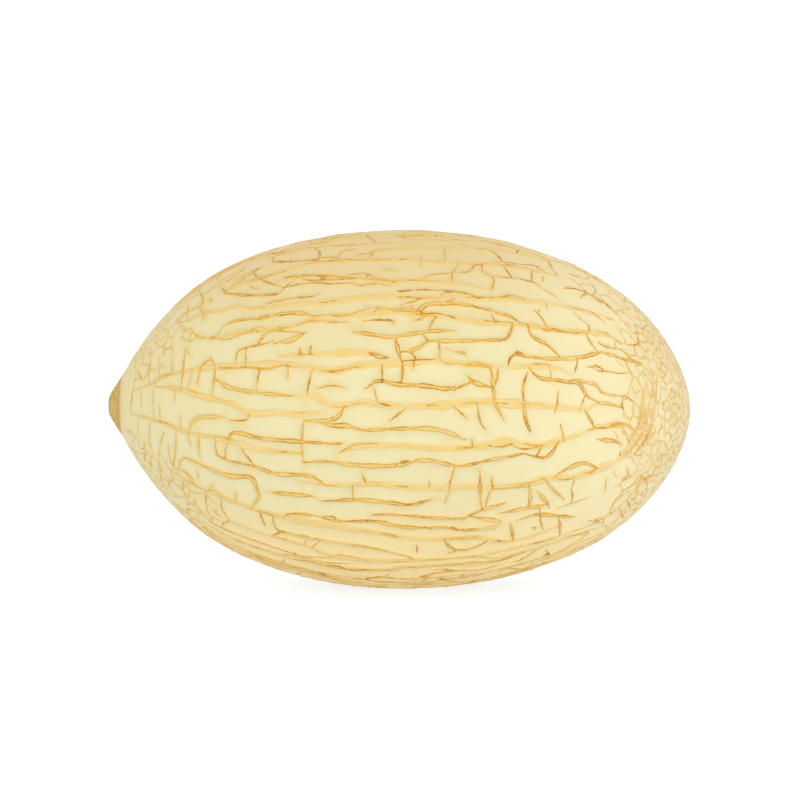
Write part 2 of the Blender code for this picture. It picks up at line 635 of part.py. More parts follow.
def melon_mesh():
    """The solid's corners and triangles, with the bottom middle of its box at the origin."""
    skin = Skin()
    net = Net(skin)
    points = Points(skin)
    points.add_flat_spot()
    points.add_stem_scar()
    points.add_blossom_scar()
    points.add_net(net)
    points.add_filling()
    spots, faces = triangles_of(points)

    stem_middle = skin.places(*spot_of(complex(stem_scar_middle(skin))))
    blossom_middle = skin.places(skin.latitude[-1], 0.0)
    flat_height = -HALF_HEIGHT + FLAT_DEPTH
    corners = []
    for index, (latitude, angle) in enumerate(spots):
        place = skin.places(latitude, angle)
        lift = net.lift(place)
        lift += scar_lift(np.linalg.norm(place - stem_middle), STEM_SCAR)
        lift += scar_lift(np.linalg.norm(place - blossom_middle), BLOSSOM_SCAR)
        corner = skin.places(latitude, angle, lift)
        corner[2] = flat_height if index < points.flat_count else max(corner[2], flat_height)
        corners.append(corner)

    pole = len(corners)
    corners.append(blossom_middle + np.array((float(scar_lift(0.0, BLOSSOM_SCAR)), 0, 0)))
    sides = {side for face in faces for side in zip(face, face[1:] + face[:1])}
    faces += [(end, start, pole) for start, end in sorted(sides) if (end, start) not in sides]
    corners = np.array(corners)
    middle = (corners.min(axis=0) + corners.max(axis=0)) / 2
    corners -= (middle[0], middle[1], flat_height)
    triangles = corners[np.array(faces)]
    volume = np.linalg.det(triangles).sum() / 6
    return corners, faces if volume > 0 else [face[::-1] for face in faces]


def skin_material():
    material = bpy.data.materials.new("melon skin")
    material.use_nodes = True
    shader = material.node_tree.nodes["Principled BSDF"]
    shader.inputs["Base Color"].default_value = SKIN_COLOUR
    shader.inputs["Roughness"].default_value = SKIN_ROUGHNESS
    shader.inputs["Metallic"].default_value = 0.0
    return material


def make_melon():
    corners, faces = melon_mesh()
    mesh = bpy.data.meshes.new("melon")
    mesh.from_pydata(corners.tolist(), [], faces)
    mesh.update()
    mesh.materials.append(skin_material())
    mesh.shade_smooth()
    melon = bpy.data.objects.new("melon", mesh)
    bpy.context.scene.collection.objects.link(melon)
    return melon


clear_scene()
make_melon()
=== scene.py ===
"""The looks of a whole netted melon lying on a pale studio floor: its finely raised rind and the stage.

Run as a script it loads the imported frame, registers the add-on's classes and calls its operators in order.
Lengths are in metres unless a name or a comment says otherwise. The long axis lies along X with the stem
end at -X, the front is at -Y, and the melon rests on Z = 0. A station is a distance along the melon from
its stem tip.
"""

import itertools
import math
import random
from collections import namedtuple

import bmesh
import bpy
import numpy as np
from bpy.props import FloatProperty, FloatVectorProperty, IntProperty, PointerProperty
from mathutils import Matrix, Vector
from mathutils.geometry import delaunay_2d_cdt
from mathutils.kdtree import KDTree


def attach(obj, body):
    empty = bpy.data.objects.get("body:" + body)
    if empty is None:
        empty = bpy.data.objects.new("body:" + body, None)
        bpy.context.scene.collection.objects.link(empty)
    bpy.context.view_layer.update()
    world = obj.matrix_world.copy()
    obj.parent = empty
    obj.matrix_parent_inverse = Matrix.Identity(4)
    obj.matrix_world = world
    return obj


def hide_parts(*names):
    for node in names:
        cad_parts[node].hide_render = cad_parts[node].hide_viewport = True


bl_info = {
    "name": "Netted Melon",
    "version": (1, 0, 0),
    "blender": (4, 5, 0),
    "location": "View3D > Sidebar > Melon",
    "description": "Makes a whole netted melon and the plain studio stage that it lies on",
    "category": "Object",
}

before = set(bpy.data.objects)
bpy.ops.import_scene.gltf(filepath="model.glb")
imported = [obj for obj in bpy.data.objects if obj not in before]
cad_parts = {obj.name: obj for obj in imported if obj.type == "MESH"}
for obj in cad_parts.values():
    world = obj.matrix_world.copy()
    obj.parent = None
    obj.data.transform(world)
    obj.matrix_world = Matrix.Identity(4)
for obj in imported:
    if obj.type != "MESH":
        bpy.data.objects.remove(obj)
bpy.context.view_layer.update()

MM_PER_METRE = 1000

# Driving sizes of the body, the same as the solid's
LENGTH = 0.2390
WIDEST_STATION = 0.1216
HALF_HEIGHT = 0.0731
WIDTH_SHARE = 1.02
STEM_FULLNESS = 0.531
STEM_TAPER = 0.284
STEM_TAPER_POWER = 4
BLOSSOM_FULLNESS = 0.498
BLOSSOM_TAPER = 0.0675
BLOSSOM_TAPER_POWER = 7
NOSE_RADIUS = 0.0107
NOSE_BLEND = 9
STEM_RISE = 0.0017
STEM_RISE_REACH = 0.110
STEM_RISE_POWER = 1.5
FLAT_DEPTH = 0.0005
FLAT_HALF_LENGTH = 0.0140
FLAT_HALF_WIDTH = 0.0088
FLAT_MARGIN = 1.15
MIDDLE_HEIGHT = HALF_HEIGHT - FLAT_DEPTH

# Added to an angle before its remainder of a whole turn is taken, to count from straight below
FROM_BELOW = 1.5 * math.pi

# The raised net's lines. A waver is the share of the width that it adds, and the length of its wave's radian
LINE_STEP = 0.00066
CURVE_STEPS = 24
SHORTEST_LINE = 0.0025
JOIN_REACH = 0.0026
JOIN_BLEND = 0.0060
BAND_TIP = 0.0100
CORD_TIP = 0.0050
NARROWEST = 0.00014
WAVERS = ((0.20, 0.0105), (0.14, 0.0041), (0.20, 0.0015))
NET_SEED = 7
WIDTH_SEED = 11
CRACK_STRENGTH = 0.9
SLIM_STATIONS = (0.012, 0.070)
SLIM_SHARES = (0.45, 1.0)

# A line's width at its ends and what its middle adds, and how its tips and wavers change its height
END_WIDTH = 0.75
MIDDLE_SWELL = 0.35
SWELL_RANGE = (0.6, 1.2)
LONGEST_TIP = 0.45
TIP_HEIGHT = 0.35
WAVER_HEIGHT = 0.15
STRENGTH_RANGE = (0.72, 1.15)

# Splits along the bands and ticks off the strips, with places and gaps counted in steps along a line
SPLIT_STARTS = (4, 30)
SPLIT_STEPS = (9, 26)
SPLIT_GAPS = (8, 60)
SPLIT_END_STEPS = 12
SPLIT_LEAST_STEPS = 6
SPLIT_ASIDE = 0.6
TICK_STARTS = (5, 40)
TICK_GAPS = (18, 90)
TICK_END_STEPS = 4
TICK_LEAST_POINTS = 4
TICK_DEGREES = (60, 110)
TICK_LENGTHS = (0.0025, 0.0055)
TICK_BOW = 0.15
SIDE_CRACK_STRENGTHS = (0.5, 1.0)

# The mesh: points across a line as shares of its half width, and the spacing over bare skin
RIBBON_SHARES = (0.55, 0.95, 1.35)
RIBBON_MARGIN = 0.00042
BAND_STRIDE = 3
CORD_STRIDE = 2
LEAST_GAP = 0.00030
FILL_STEP = 0.0023
FILL_STEP_AT_POLE = 0.0007
FILL_STEP_GROWTH = 0.10
FILL_GAP_SHARE = 0.72
ROW_SHARE = 0.87
CHART_MERGE = 1e-6
THINNEST_FACE = 0.00015
THIN_FACE_ROUNDS = 3
NEIGHBOURS = tuple(itertools.product((-1, 0, 1), repeat=3))

# Scars at the two ends: the stem scar's middle is turned a little to the front, and a shape is the scar's
# radius, where its rim starts, the rim's height, and the pit's radius and depth
STEM_SCAR_TURN = 0.0022
STEM_SCAR_SHAPE = (0.0142, 0.0110, 0.0002, 0.0022, 0.0010)
BLOSSOM_SCAR_SHAPE = (0.0052, 0.0026, 0.0002, 0.0015, 0.0003)
DISH_SHARE = 0.45
SCAR_STEP = 0.0009
STEM_SCAR_REACH = 0.0158
BLOSSOM_SCAR_REACH = 0.0060
BLOSSOM_RING_RADIUS = 0.0010
BLOSSOM_RING_CORNERS = 10
FAR_AWAY = 1.0

# The net's cross-sections: height shares at places from the middle out to the last ribbon point
BAND_SECTION = ((0.0, 0.80), (0.20, 0.92), (0.42, 1.0), (0.62, 0.72), (0.80, 0.28), (1.0, 0.0))
CORD_SECTION = ((0.0, 0.78), (0.20, 0.90), (0.45, 1.0), (0.66, 0.70), (0.82, 0.22), (1.0, 0.0))
CORK_GRAIN = 0.0016
NET_INPUTS = (
    ("Geometry", "NodeSocketGeometry"),
    ("Band Lines", "NodeSocketObject"),
    ("Cord Lines", "NodeSocketObject"),
    ("Waviness", "NodeSocketFloat"),
    ("Wave Length", "NodeSocketFloat"),
    ("Cork Roughness", "NodeSocketFloat"),
    ("Resting Height", "NodeSocketFloat"),
    ("Seed", "NodeSocketFloat"),
    ("Material", "NodeSocketMaterial"),
)

# Sizes of the patterns in the rind's finish, and how they are stretched along the melon
STREAK_STRETCH = (0.35, 1.0, 1.0)
FIBRE_STRETCH = (0.16, 1.0, 1.0)
FIBRE_SIZE = 0.0012
RAGGED_SIZE = 0.0009
CRUMB_SIZE = 0.0022
FADE_SIZE = 0.0060
MOTTLE_SIZE = 0.0150
BLUSH_SIZE = 0.0070
DARK_SIZE = 0.0045
SCAR_GRAIN = 0.0012
GRIT_SIZE = 0.0005
GRIT_DEPTH = 0.00030

# How far crumbs and rags eat into the edges of the net and the scars, in millimetres
BAND_CRUMBS = 0.8
CORD_RAGS = 0.8
HALO_CRUMBS = 0.8
STEM_SCAR_CRUMBS = 1.2
BLOSSOM_SCAR_CRUMBS = 1.6

# Steps in the finish: from which value to which, then the share before and after where that isn't 0 and 1.
# Edges, reaches and the scars' steps are in millimetres, and places and levels in metres
BAND_EDGE = (-0.40, 0.45)
BAND_FADE = (0.25, 0.60, 0.45, 1.0)
FIBRE_FADE = (0.35, 0.62, 0.62, 1.0)
CORD_EDGE = (-0.16, 0.10)
CORD_FADE = (0.30, 0.60, 0.42, 1.0)
CRUMB_FADE = (0.36, 0.58, 0.70, 1.12)
STEM_FADE_PLACES = (-0.050, -0.095, 1.0, 0.68)
CAP_FADE_PLACES = (0.080, 0.100, 1.0, 0.82)
FILL_BY_STRENGTH = (0.0, 0.8, 0.25, 0.9)
RIM_EDGE = (0.32, 0.52, 1.0, 0.0)
BORDER_OUTER_EDGE = (-0.10, 0.12)
BORDER_INNER_EDGE = (0.20, 0.50, 1.0, 0.0)
BORDER_PATCHES = (0.45, 0.70, 0.0, 0.55)
BORDER_PLACES = (-0.045, -0.075, 0.0, 0.5)
DARK_PATCHES = (0.45, 0.62)
DARK_PLACES = (-0.040, -0.090, 0.8, 0.3)
HALO_REACH = (0.3, 2.5)
MOTTLE_PATCHES = (0.42, 0.72)
# Painted shade: the skin turns yellower and deeper towards the top and the bottom limbs
LIMB_SHADE_LEVELS = (0.028, 0.070, 0.0, 0.8)
BLOSSOM_SKIN_PLACES = (0.020, 0.095, 0.0, 0.8)
STEM_SKIN_PLACES = (-0.060, -0.112, 0.0, 0.55)
# Partly the pale spot where the melon lay, partly painted light that lifts the shaded underside
GROUND_SPOT_AND_LIGHT_LEVELS = (0.050, 0.006, 0.0, 0.8)
BLUSH_PATCHES = (0.35, 0.62, 0.0, 0.28)
BLUSH_PLACES = (0.072, 0.102)
CAP_BAND_PLACES = (0.070, 0.098)
# Painted shadow: the scar's brown fades out onto the skin round the stem scar
SCAR_SHADOW_FADE = (12.0, 25.0, 0.40, 0.0)
STEM_SCAR_EDGE = (12.2, 15.0, 1.0, 0.0)
BLOSSOM_SCAR_EDGE = (2.6, 4.4, 1.0, 0.0)
SCAR_GRAINS = (0.42, 0.72, 0.0, 0.8)
SCAR_BORDER = (9.0, 13.0, 0.0, 0.6)
# Painted shade: the middle of the stem scar, over its dish and pit, is darkened
SCAR_DISH_SHADE = (1.0, 5.0, 0.7, 0.0)

# Shares in the finish, and how rough, glossy and gritty it is
MOTTLE_SHARE = 0.35
BAND_COVER = 0.9
BAND_CORK = 0.5
SKIN_ROUGHNESS = 0.50
CORK_ROUGHNESS = 0.85
SKIN_GLOSS = 0.30
SKIN_GRIT = 0.12
GRIT_STRENGTH = 0.5
FLOOR_ROUGHNESS = 0.9

# The mixing node's sockets for its share, the colour under and the colour over, and for the mixed colour
MIX_INPUTS = (0, 6, 7)
MIX_OUTPUT = 2

# The stage: the camera's view is the photo's, 800 by 800 points with the melon's middle at PHOTO_MIDDLE.
# The sensor and the lens are in millimetres. A light is its name, its place, its width, its share of the key
# light's power, and whether the waxy skin mirrors it
PHOTO_WIDTH = 800
PHOTO_MIDDLE = (398.7, 409.3)
SENSOR_WIDTH = 36.0
LENS = 85.5
CAMERA_DISTANCE = 0.782
CAMERA_ELEVATION = math.radians(3.0)
AIM_OFFSET = (0.0005, 0.0, 0.0038)
FLOOR_HALF_WIDTH = 6.0
LIGHTS = (
    ("key_light", (0.16, -1.75, 0.26), 1.1, 1.0, True),
    ("back_light", (-0.16, 1.75, 0.26), 1.1, 0.60, False),
)

# Soft broad bands of the net, read off the photo's front, each a route of (millimetres from the
# stem tip, degrees up from the front)
BANDS = (
    ((15, 16), (22, 17.5), (29, 19), (44, 19), (60, 18), (76, 17.3), (88, 15.4), (96, 14.6), (104, 16),
     (118, 16.8), (134, 17.4), (148, 16.4), (164, 16.6), (176, 17.4), (186, 16)),
    ((74, 20.2), (90, 20), (106, 20), (116, 18.4)),
    ((25, 14.4), (33, 12), (42, 8.3), (50, 6), (57, 4.3), (63, 1.4), (74, 1.6), (83, 1.2), (91, 2)),
    ((78, 7), (88, 7), (92, 4.8), (98, 3.8), (106, 5), (116, 4.1), (132, 4), (148, 5), (166, 4.6),
     (180, 3.6), (190, 3), (196, 5.4), (204, 5)),
    ((13, -6), (18, -4.8), (28, -6), (38, -8), (50, -8.6), (60, -9.7), (68, -11), (83, -10.8)),
    ((97, -10.4), (104, -8), (118, -7.6), (134, -8.5), (150, -8.2), (159, -7), (172, -9), (184, -7),
     (192, -4.6), (201, -3.2), (208, -4.4), (211, -8.6)),
    ((82, -20.2), (96, -20.6), (110, -19.5), (126, -20.6), (150, -21), (166, -22), (176, -20.8),
     (188, -22), (197, -20.6), (204, -19), (210, -14), (214, -8), (216, 2), (218, 14), (219, 26)),
    ((29, -31), (40, -32.6), (54, -33.5), (68, -34.5), (82, -35.5), (98, -36), (112, -37.3),
     (120, -38.6), (134, -40), (149, -40.6), (155, -43), (166, -45), (180, -43)),
    ((54, -44.6), (69, -45.5), (84, -46.6), (92, -49.8), (108, -50.8), (125, -50), (145, -50),
     (168, -49), (192, -49)),
    ((41, -58), (45, -56), (54, -57.4), (70, -56.3), (86, -57), (108, -57), (122, -54), (138, -53.6),
     (156, -55.4), (168, -52.6), (186, -52), (194, -55), (190, -58.4), (183, -61)),
    ((48, 30.5), (60, 31), (78, 30), (90, 32.6), (104, 32.4), (118, 33.4), (132, 32), (150, 30.6),
     (168, 31.4), (186, 32), (198, 34.6), (206, 34)),
    ((44, 46.5), (50, 43.6), (57, 43), (64, 40), (78, 38.6), (92, 38), (110, 38.8), (130, 38.2),
     (150, 39.4), (168, 41.2), (186, 42.6), (204, 44.6)),
    ((72, 51), (86, 50), (98, 48), (112, 45.4), (128, 45), (142, 44.8), (153, 43.4)),
    ((52, 54.6), (68, 55.2), (84, 57), (98, 56.4), (116, 55.4), (138, 54.8), (152, 56), (168, 58),
     (184, 59.4)), ((103, 58.6), (114, 61), (130, 62.5), (146, 65), (160, 68), (178, 70)),
    ((61, 76), (64, 71), (76, 69.4), (92, 68), (106, 66.5), (126, 67)),
    ((205, -17), (209, -11), (212.5, -4), (213.5, 4), (214.5, 12), (216, 20)),
    ((209, -20), (214, -14), (217.5, -6), (219, 4), (220, 14), (221, 22)),
    ((122, 69.8), (132, 69.4), (141, 71.2), (152, 73.5)),
)

# Crisp split cords between the bands, read the same way
CORDS = (
    ((50, 14), (55, 10.5), (62, 8.8), (70, 7.8), (80, 7)), ((39, -7), (40, -4), (44, -1), (53, -0.4)),
    ((55, -9), (56, -6.2), (60, -5.8), (68, -7), (85, -7.2), (98, -7.5)),
    ((50, -14.7), (54, -16.4), (64, -16.9), (73, -18.6), (84, -18), (92, -19.4)),
    ((35, -22.4), (38, -20.3), (46, -21.6), (55, -22.6), (63, -21.3), (65.5, -25), (66, -29), (63, -33)),
    ((71, -25.8), (80, -25.2), (88, -25)),
    ((90, -26.5), (104, -25), (116, -25.6), (124, -26.3), (133, -24.3)),
    ((84, -14), (92, -13), (104, -13.7), (118, -13.6), (130, -12), (142, -14), (154, -12.5),
     (167, -11.3)), ((169, -12.2), (175, -13), (180, -9.4)), ((84, -0.8), (95, 0), (100, 3.8)),
    ((90, -2), (105, -1.7)), ((102, -3.5), (116, -2.7), (130, -2.6), (138, -3.8), (144, -6)),
    ((107, 9), (112, 11.3), (120, 10.2), (130, 9.8), (141, 8.3)), ((144.5, 13.5), (148, 11), (155, 9.5)),
    ((154, 16), (155, 10), (155.5, 5), (159, -0.6)),
    ((166.5, 14), (166, 9), (166.5, 4), (167, 0), (169, -4.5)),
    ((168, 15.2), (173, 13.2), (182, 12.8), (188, 12), (191, 8), (196, 5.6)),
    ((184, 14.4), (190, 13), (194.5, 12.4), (197, 9.6), (204, 8)), ((190, 3), (194, -4)),
    ((195, -8.5), (206, -11)), ((178, -20.4), (184, -18), (190, -17), (196, -20.4)),
    ((102, 26.8), (114, 25), (118, 24.8), (130, 26.5), (141, 27.2)),
    ((118, 24.8), (119.5, 20), (120.5, 17)), ((128, 26), (130, 23.6), (126, 21), (120, 19.8)),
    ((130, 23.6), (142, 23.8), (155, 24.8), (160, 25.6), (162, 29), (162.5, 31)),
    ((160, 17), (163, 20.4), (174, 20), (186, 21.4), (193, 24), (198, 26), (206, 25.4), (212, 26),
     (217, 24)), ((168, 31), (170, 27.5), (176, 24.8), (181, 21)), ((66, 26.5), (70, 29), (78, 30)),
    ((72, 26), (78, 25), (86, 28)), ((50, 32), (54, 36), (66, 35.5), (80, 35), (88, 33)),
    ((113, 34), (126, 33.6), (131, 36), (144, 36.6), (158, 34.4), (166, 32)),
    ((41, 65), (42.5, 55), (42, 50), (45, 42)),
    ((88, -32.3), (96, -33.4), (110, -32.5), (122, -34.6), (142, -35.2)),
    ((75, -35), (79, -32.8), (88, -32.3)),
    ((109, -30.3), (118, -29.9), (136, -31.5), (144, -32), (151, -29.4), (160, -27.8)),
    ((140, -37), (155, -36.8), (158, -35), (150, -32.4), (146, -31.8)),
    ((71, -35), (72, -40), (75, -41.8), (90, -42.5), (108, -43.7), (121, -47), (126, -49.8)),
    ((75, -41.8), (70, -45.4)), ((137, -41), (140, -44.6), (145, -46), (151, -44.4), (154, -42.6)),
    ((66, -34.6), (68, -41)), ((158, -31.6), (168, -30.9), (177, -31.6)),
    ((169, -22.2), (169.5, -27), (169, -31)), ((175, -21.6), (178, -25), (182, -29.6)),
    ((172, -25), (177, -31)), ((150, -16.4), (150, -21), (150.6, -29)),
    ((166, -35.4), (173, -34.6), (182, -38), (188, -40.6)), ((162, -36), (164, -44)),
    ((180.5, -38.4), (182, -43), (182, -48.6)),
    ((107, -66), (107, -63.6), (114, -61.5), (123, -63.6), (131, -62.4), (142, -66)),
)

# Narrow solid strokes: rungs, cracks and ticks, read the same way
CRACKS = (
    ((60, -11.5), (65, -16.6)), ((89, 9.3), (95, 10.1), (100, 9.3)), ((148.5, 5), (150, -1), (152, -3)),
    ((139, 4.5), (145, 0.3)), ((116, -0.5), (123, 4)), ((179.5, 9), (179, 4), (178, 1.4)),
    ((180.5, -2), (182, -8)), ((176, 18), (177, 14), (176.5, 13)), ((40, 40), (41, 35.5), (48, 30.5)),
    ((119, 41), (132, 41.5), (144, 41.3), (150, 39.6)), ((173, 37.5), (176, 31.4)),
    ((31, 54), (34, 48), (42, 44.4)),
    ((51, 58), (51.5, 53.5), (57, 49), (66, 45.4), (73, 44), (76, 47), (80, 50.4)),
    ((54, 59), (60, 61), (66, 63)), ((62, 61), (64, 57), (68, 52), (74, 47)),
    ((44, 63.5), (51, 64.6), (59, 67.6)), ((69, 68), (71, 63), (80, 60.4), (92, 57.2)),
    ((86, 69), (88.5, 64), (88.5, 58)), ((127, 47), (133, 48), (140, 50), (143, 54.6)),
    ((139.5, 45), (140.5, 50)), ((152, 56), (152, 51.4), (156, 49), (155, 43.6)),
    ((155, 50), (170, 51), (175, 48.5), (181, 45.6)), ((153, 67), (157, 65), (160, 60), (162, 57.4)),
    ((137.5, 63), (137.5, 55)), ((184, 54), (192, 54.7), (200, 53.8), (205, 49.6), (208, 44)),
    ((179, 73), (180, 64), (182, 59.4)), ((213, 43), (213, 37), (208, 33.6)),
    ((126.5, -42), (126.5, -46)), ((36, -33), (35, -40), (38, -46), (44, -48.4)),
    ((45, -33), (44.5, -41), (46, -47), (52, -47)),
    ((51, -34), (51, -39), (53.5, -44.4), (51, -48), (50, -52)),
    ((36, -60), (35.5, -54), (42, -49), (46, -52), (50, -52), (66, -51.5), (82, -53), (96, -50.6)),
    ((28, -50), (29, -42), (31, -36), (30, -31)), ((155, -21.2), (153, -25), (152.4, -28.6)),
    ((173, -36), (175, -41.6)), ((166, -60), (173, -54), (176, -52)),
    ((202.5, -50), (203, -43), (206, -37.6), (213, -35.4), (220, -38)), ((213, -36), (213, -47)),
    ((207, -50), (209, -60)), ((62, -62), (78, -63.6), (94, -64), (107, -64.6)),
    ((24, 17), (23.7, 8), (24, -2)), ((18, 14), (18, 2)), ((26.5, 4), (26.6, -6)),
    ((35.5, -1), (35.6, -7.6)), ((21, 33), (21.4, 18)), ((25.5, 33), (26.4, 18)), ((31.5, 27), (32, 19)),
    ((37, 30.5), (36.4, 19), (36, 12)), ((43.6, 18), (42.4, 12)), ((49.5, 18), (49, 8.4)),
    ((33, 11), (33, 6)), ((17, -7), (16, -18), (16, -30)), ((22, -6), (21.6, -18), (23, -30)),
    ((28, -11), (26, -22), (25, -31)), ((33.6, -8), (33, -19), (31, -30)), ((43, -9), (43, -17.6)),
    ((49.8, -9), (49.6, -17)), ((67, 17), (66, 10)), ((78, 17), (78, 12.6)), ((87, 14.5), (85, 7.6)),
    ((84, 0), (83.4, -6), (83.4, -14.4)), ((113.5, 16), (113.5, 12.6)), ((121, 16.8), (121, 11.4)),
    ((111, 9), (111.6, 5)), ((106, -17), (107.4, -19.8)), ((140, -15.8), (138, -20.4)),
    ((154.5, -18), (154.5, -21)), ((102, -21), (102.6, -24.8)), ((139, -21), (137, -26)),
    ((128.4, 58), (128, 52.6)), ((171.6, 58), (171, 53)), ((57, -29), (57, -33.4)),
    ((125, 35.3), (128, 33.2), (130, 32.5), (134, 32.8), (138.5, 32.3)), ((137.5, 32.2), (141.5, 31.3)),
    ((124.5, 30.3), (128, 30.2), (130.5, 30.6)), ((130, 28.2), (132, 29.4), (133.8, 30)),
    ((150, 35.4), (154, 35.2)), ((152, 34.3), (158, 34.6), (162, 34.3), (165.5, 33.5)),
    ((163, 32.5), (166, 32), (169, 31.8)), ((154.6, 32.6), (156, 31.4)),
    ((172.3, 30), (175, 29.6), (178.3, 29.2)), ((138.2, 20.9), (141, 20.3), (146, 20.2)),
    ((141.6, 19.6), (144.8, 19.4)), ((163.5, 23), (164, 21.2)),
    ((161, 20.5), (164.5, 21.4), (168.5, 20.6)), ((135.6, 17.5), (137.5, 16.4), (141, 15.8)),
    ((144.6, 16.8), (148, 17.5), (151, 17), (154.5, 17.3)), ((145, 16.2), (150, 16.4), (153.5, 15.4)),
    ((157.4, 16.3), (156.9, 13.5)), ((125.3, 17), (125, 14.6)), ((122, 20.7), (125, 20), (125.6, 18.4)),
    ((140.2, 9.9), (143, 10.1), (146.4, 9.7)), ((156, 14), (155.9, 9.5)), ((157.3, 4.9), (160.2, 4.6)),
    ((130, 4.8), (134.5, 4.9)), ((73, 28.5), (79, 28.2), (84, 27.6)), ((82, 20.3), (82.4, 22.4)),
    ((86.4, 20.2), (86.6, 22.9)), ((107.5, 20.3), (109.5, 19.3), (112, 18.9)),
    ((109.5, 18.2), (112, 17.8), (117, 17.9)), ((94.5, 14.3), (97.5, 14.6), (100, 15.6)),
    ((85, 31), (90, 31), (96, 30.3), (101, 30.2)), ((106, 30.3), (112, 30.5), (120, 30.1)),
    ((114, 29.2), (116, 29.5), (117.8, 29.2)), ((93.5, 32.8), (97, 32.6), (102, 32.9)),
    ((109.5, 33.6), (112, 34.8), (115, 34.5)), ((111.5, 4.9), (114, 4.7), (116.5, 5.1)),
    ((146.8, -5.4), (147, -7.4)), ((153, -8.9), (158, -8.7), (162, -8.2)),
    ((162, -9.8), (166, -9.8), (170, -9.6)), ((170.1, -9.4), (172.4, -9)),
    ((171.6, -12.4), (172.6, -11.6), (174, -11)), ((160, -12.4), (162.5, -11.6), (166, -11)),
    ((131, -18.2), (131.3, -20)), ((155, -22.7), (159, -22.5), (163, -22.3), (167, -22.8), (168.5, -24)),
    ((91.5, -7.8), (95, -7.6), (99.3, -6.8)), ((96.8, -10.5), (99, -9.2), (101.5, -8.5)),
    ((118.5, -12.2), (121, -11.9), (125, -11.7)), ((124, -12.8), (128, -12)),
    ((49.2, 62), (49.8, 58.5), (51.3, 55), (52, 53)), ((61.8, 52.4), (63, 50.2), (65.6, 48.6)),
    ((56, 47.7), (60, 47), (64.3, 46.5)), ((32, 53.6), (36, 53), (40.5, 52.6)), ((36, 60), (36.4, 56)),
    ((87.5, 60.2), (90, 59.9), (93.3, 59.5)), ((96.3, 60), (97.4, 62.2), (99.5, 62.8), (102, 62.9)),
    ((101.7, 57.9), (103.3, 59.2), (106.7, 60.7)), ((108.5, 57.8), (109.8, 59.5)),
    ((100.3, 56.4), (100, 54.4)), ((92, 56.9), (97, 56.4)), ((119, 55.4), (123, 55.5)),
    ((113.3, 49.9), (116, 49.9), (118.6, 49.5)),
    ((99.8, 48.8), (104, 49), (107.3, 48.5), (107.2, 47.3), (109.3, 46.3)),
    ((110, 46.3), (112.5, 45.3), (118, 44.9)), ((100, 45.4), (102.5, 44.2), (104.6, 43.5), (108, 44)),
    ((116, 43.1), (119.6, 43.3)), ((75, 47.2), (83, 46.9), (89, 46.6), (92, 45.6), (98.5, 44.9)),
    ((81, 49), (85, 48.2), (92, 47.5), (99, 46.8)), ((86, 50.4), (89.5, 49.4), (97, 48.1), (104, 46.9)),
    ((74, 52.2), (79, 51.2), (86, 50.3)), ((78, 41.3), (84, 41), (87.3, 41), (89.3, 42)),
    ((68, 41.3), (77, 40.6)), ((93, 37.6), (95.8, 38.1)), ((118.5, 41.2), (121.3, 40.7)),
    ((119, 38.6), (121.6, 38.2)), ((118.6, 36), (121.8, 36.1)), ((123, 36.5), (128.5, 36.8)),
    ((119, 34.8), (124.3, 34.7)),
    ((142, 49.8), (145.5, 50.3), (147.6, 52), (148.4, 54), (150.2, 55.4), (153.5, 56.8)),
    ((152.8, 55), (152.6, 52.6)), ((160.3, 55.6), (161.8, 53.6), (163.4, 51.9)),
    ((156.2, 58.9), (158.8, 59.3)), ((159.3, 58.8), (163, 59.4), (167, 60.2)),
    ((168, 60.7), (172.8, 62.1)), ((175.2, 62.5), (177, 60)), ((175.8, 56.4), (175.5, 52.8)),
    ((168.4, 51.7), (171, 51.3)), ((155.6, 43.7), (157.2, 45.5)),
    ((134.6, 39.3), (136, 40.4), (139, 41.1), (145.5, 40.6)), ((128, 41.3), (132.6, 41.5)),
    ((154.4, 40.6), (157, 41), (160, 41.2), (164, 41.5), (167.6, 41.6)),
    ((158, 42), (163, 42.6), (168, 42.4)), ((147, 37.4), (150.2, 37)), ((136, 37.3), (141, 37.7)),
    ((171.6, 38.8), (171.4, 36.6)), ((176.3, 41.3), (176.5, 39.3)), ((120.5, 40.4), (125, 40.9)),
    ((121, 39), (125, 39.2)), ((190.3, 50.3), (191.4, 52), (193.6, 54.6)),
    ((197.5, 63.6), (197.4, 60), (196.6, 55.8)), ((195.4, 51.7), (199, 52.2), (199.9, 54.3), (201, 54.3)),
    ((211.6, 43.8), (213.6, 45.2)), ((185.5, 40.2), (188.5, 38.8), (192, 37.4)),
    ((193.9, 38.4), (193.1, 36), (192.6, 33)), ((194.8, 42.8), (197.5, 41.9), (199.4, 40.4)),
    ((195.5, 34.6), (198.5, 35.6), (200, 36.3), (200.9, 35.4)), ((187, 41.2), (189.3, 42.6)),
    ((186.3, 65), (192.4, 64.6)), ((134.4, 22), (135, 18.2)), ((106.2, 78), (107.3, 74), (110.6, 67.4)),
    ((117, 75), (120, 72.8), (123.5, 70.3)), ((143.8, 68.3), (146.4, 68)),
    ((14.2, 28), (14, 20), (13.3, 10), (12.8, 2), (13, -4)), ((40.3, 17), (39.8, 15), (39.4, 12.3)),
    ((43.5, 20.3), (45, 22), (47.3, 23.6)), ((27, 20.5), (31, 20)), ((61.8, 23.8), (61.7, 19.3)),
    ((58.2, 19.5), (58, 22.5), (59.5, 24), (66, 24.7), (72, 24.6)),
    ((46.8, 33.8), (48.4, 32.5), (49.6, 30.8)),
    ((50, 29.8), (53, 29), (57, 29.3), (61, 30.2), (66, 31.7), (69.7, 32.3)),
    ((62, 36.2), (66, 34.9), (72, 34.2)), ((51, 18.4), (55, 17.3), (62, 17.2), (68, 16.2), (76, 16)),
    ((22.4, 34), (21.7, 28), (22.2, 21)), ((15.5, 35), (17, 27), (18.5, 20)), ((48.3, 22), (49.8, 19)),
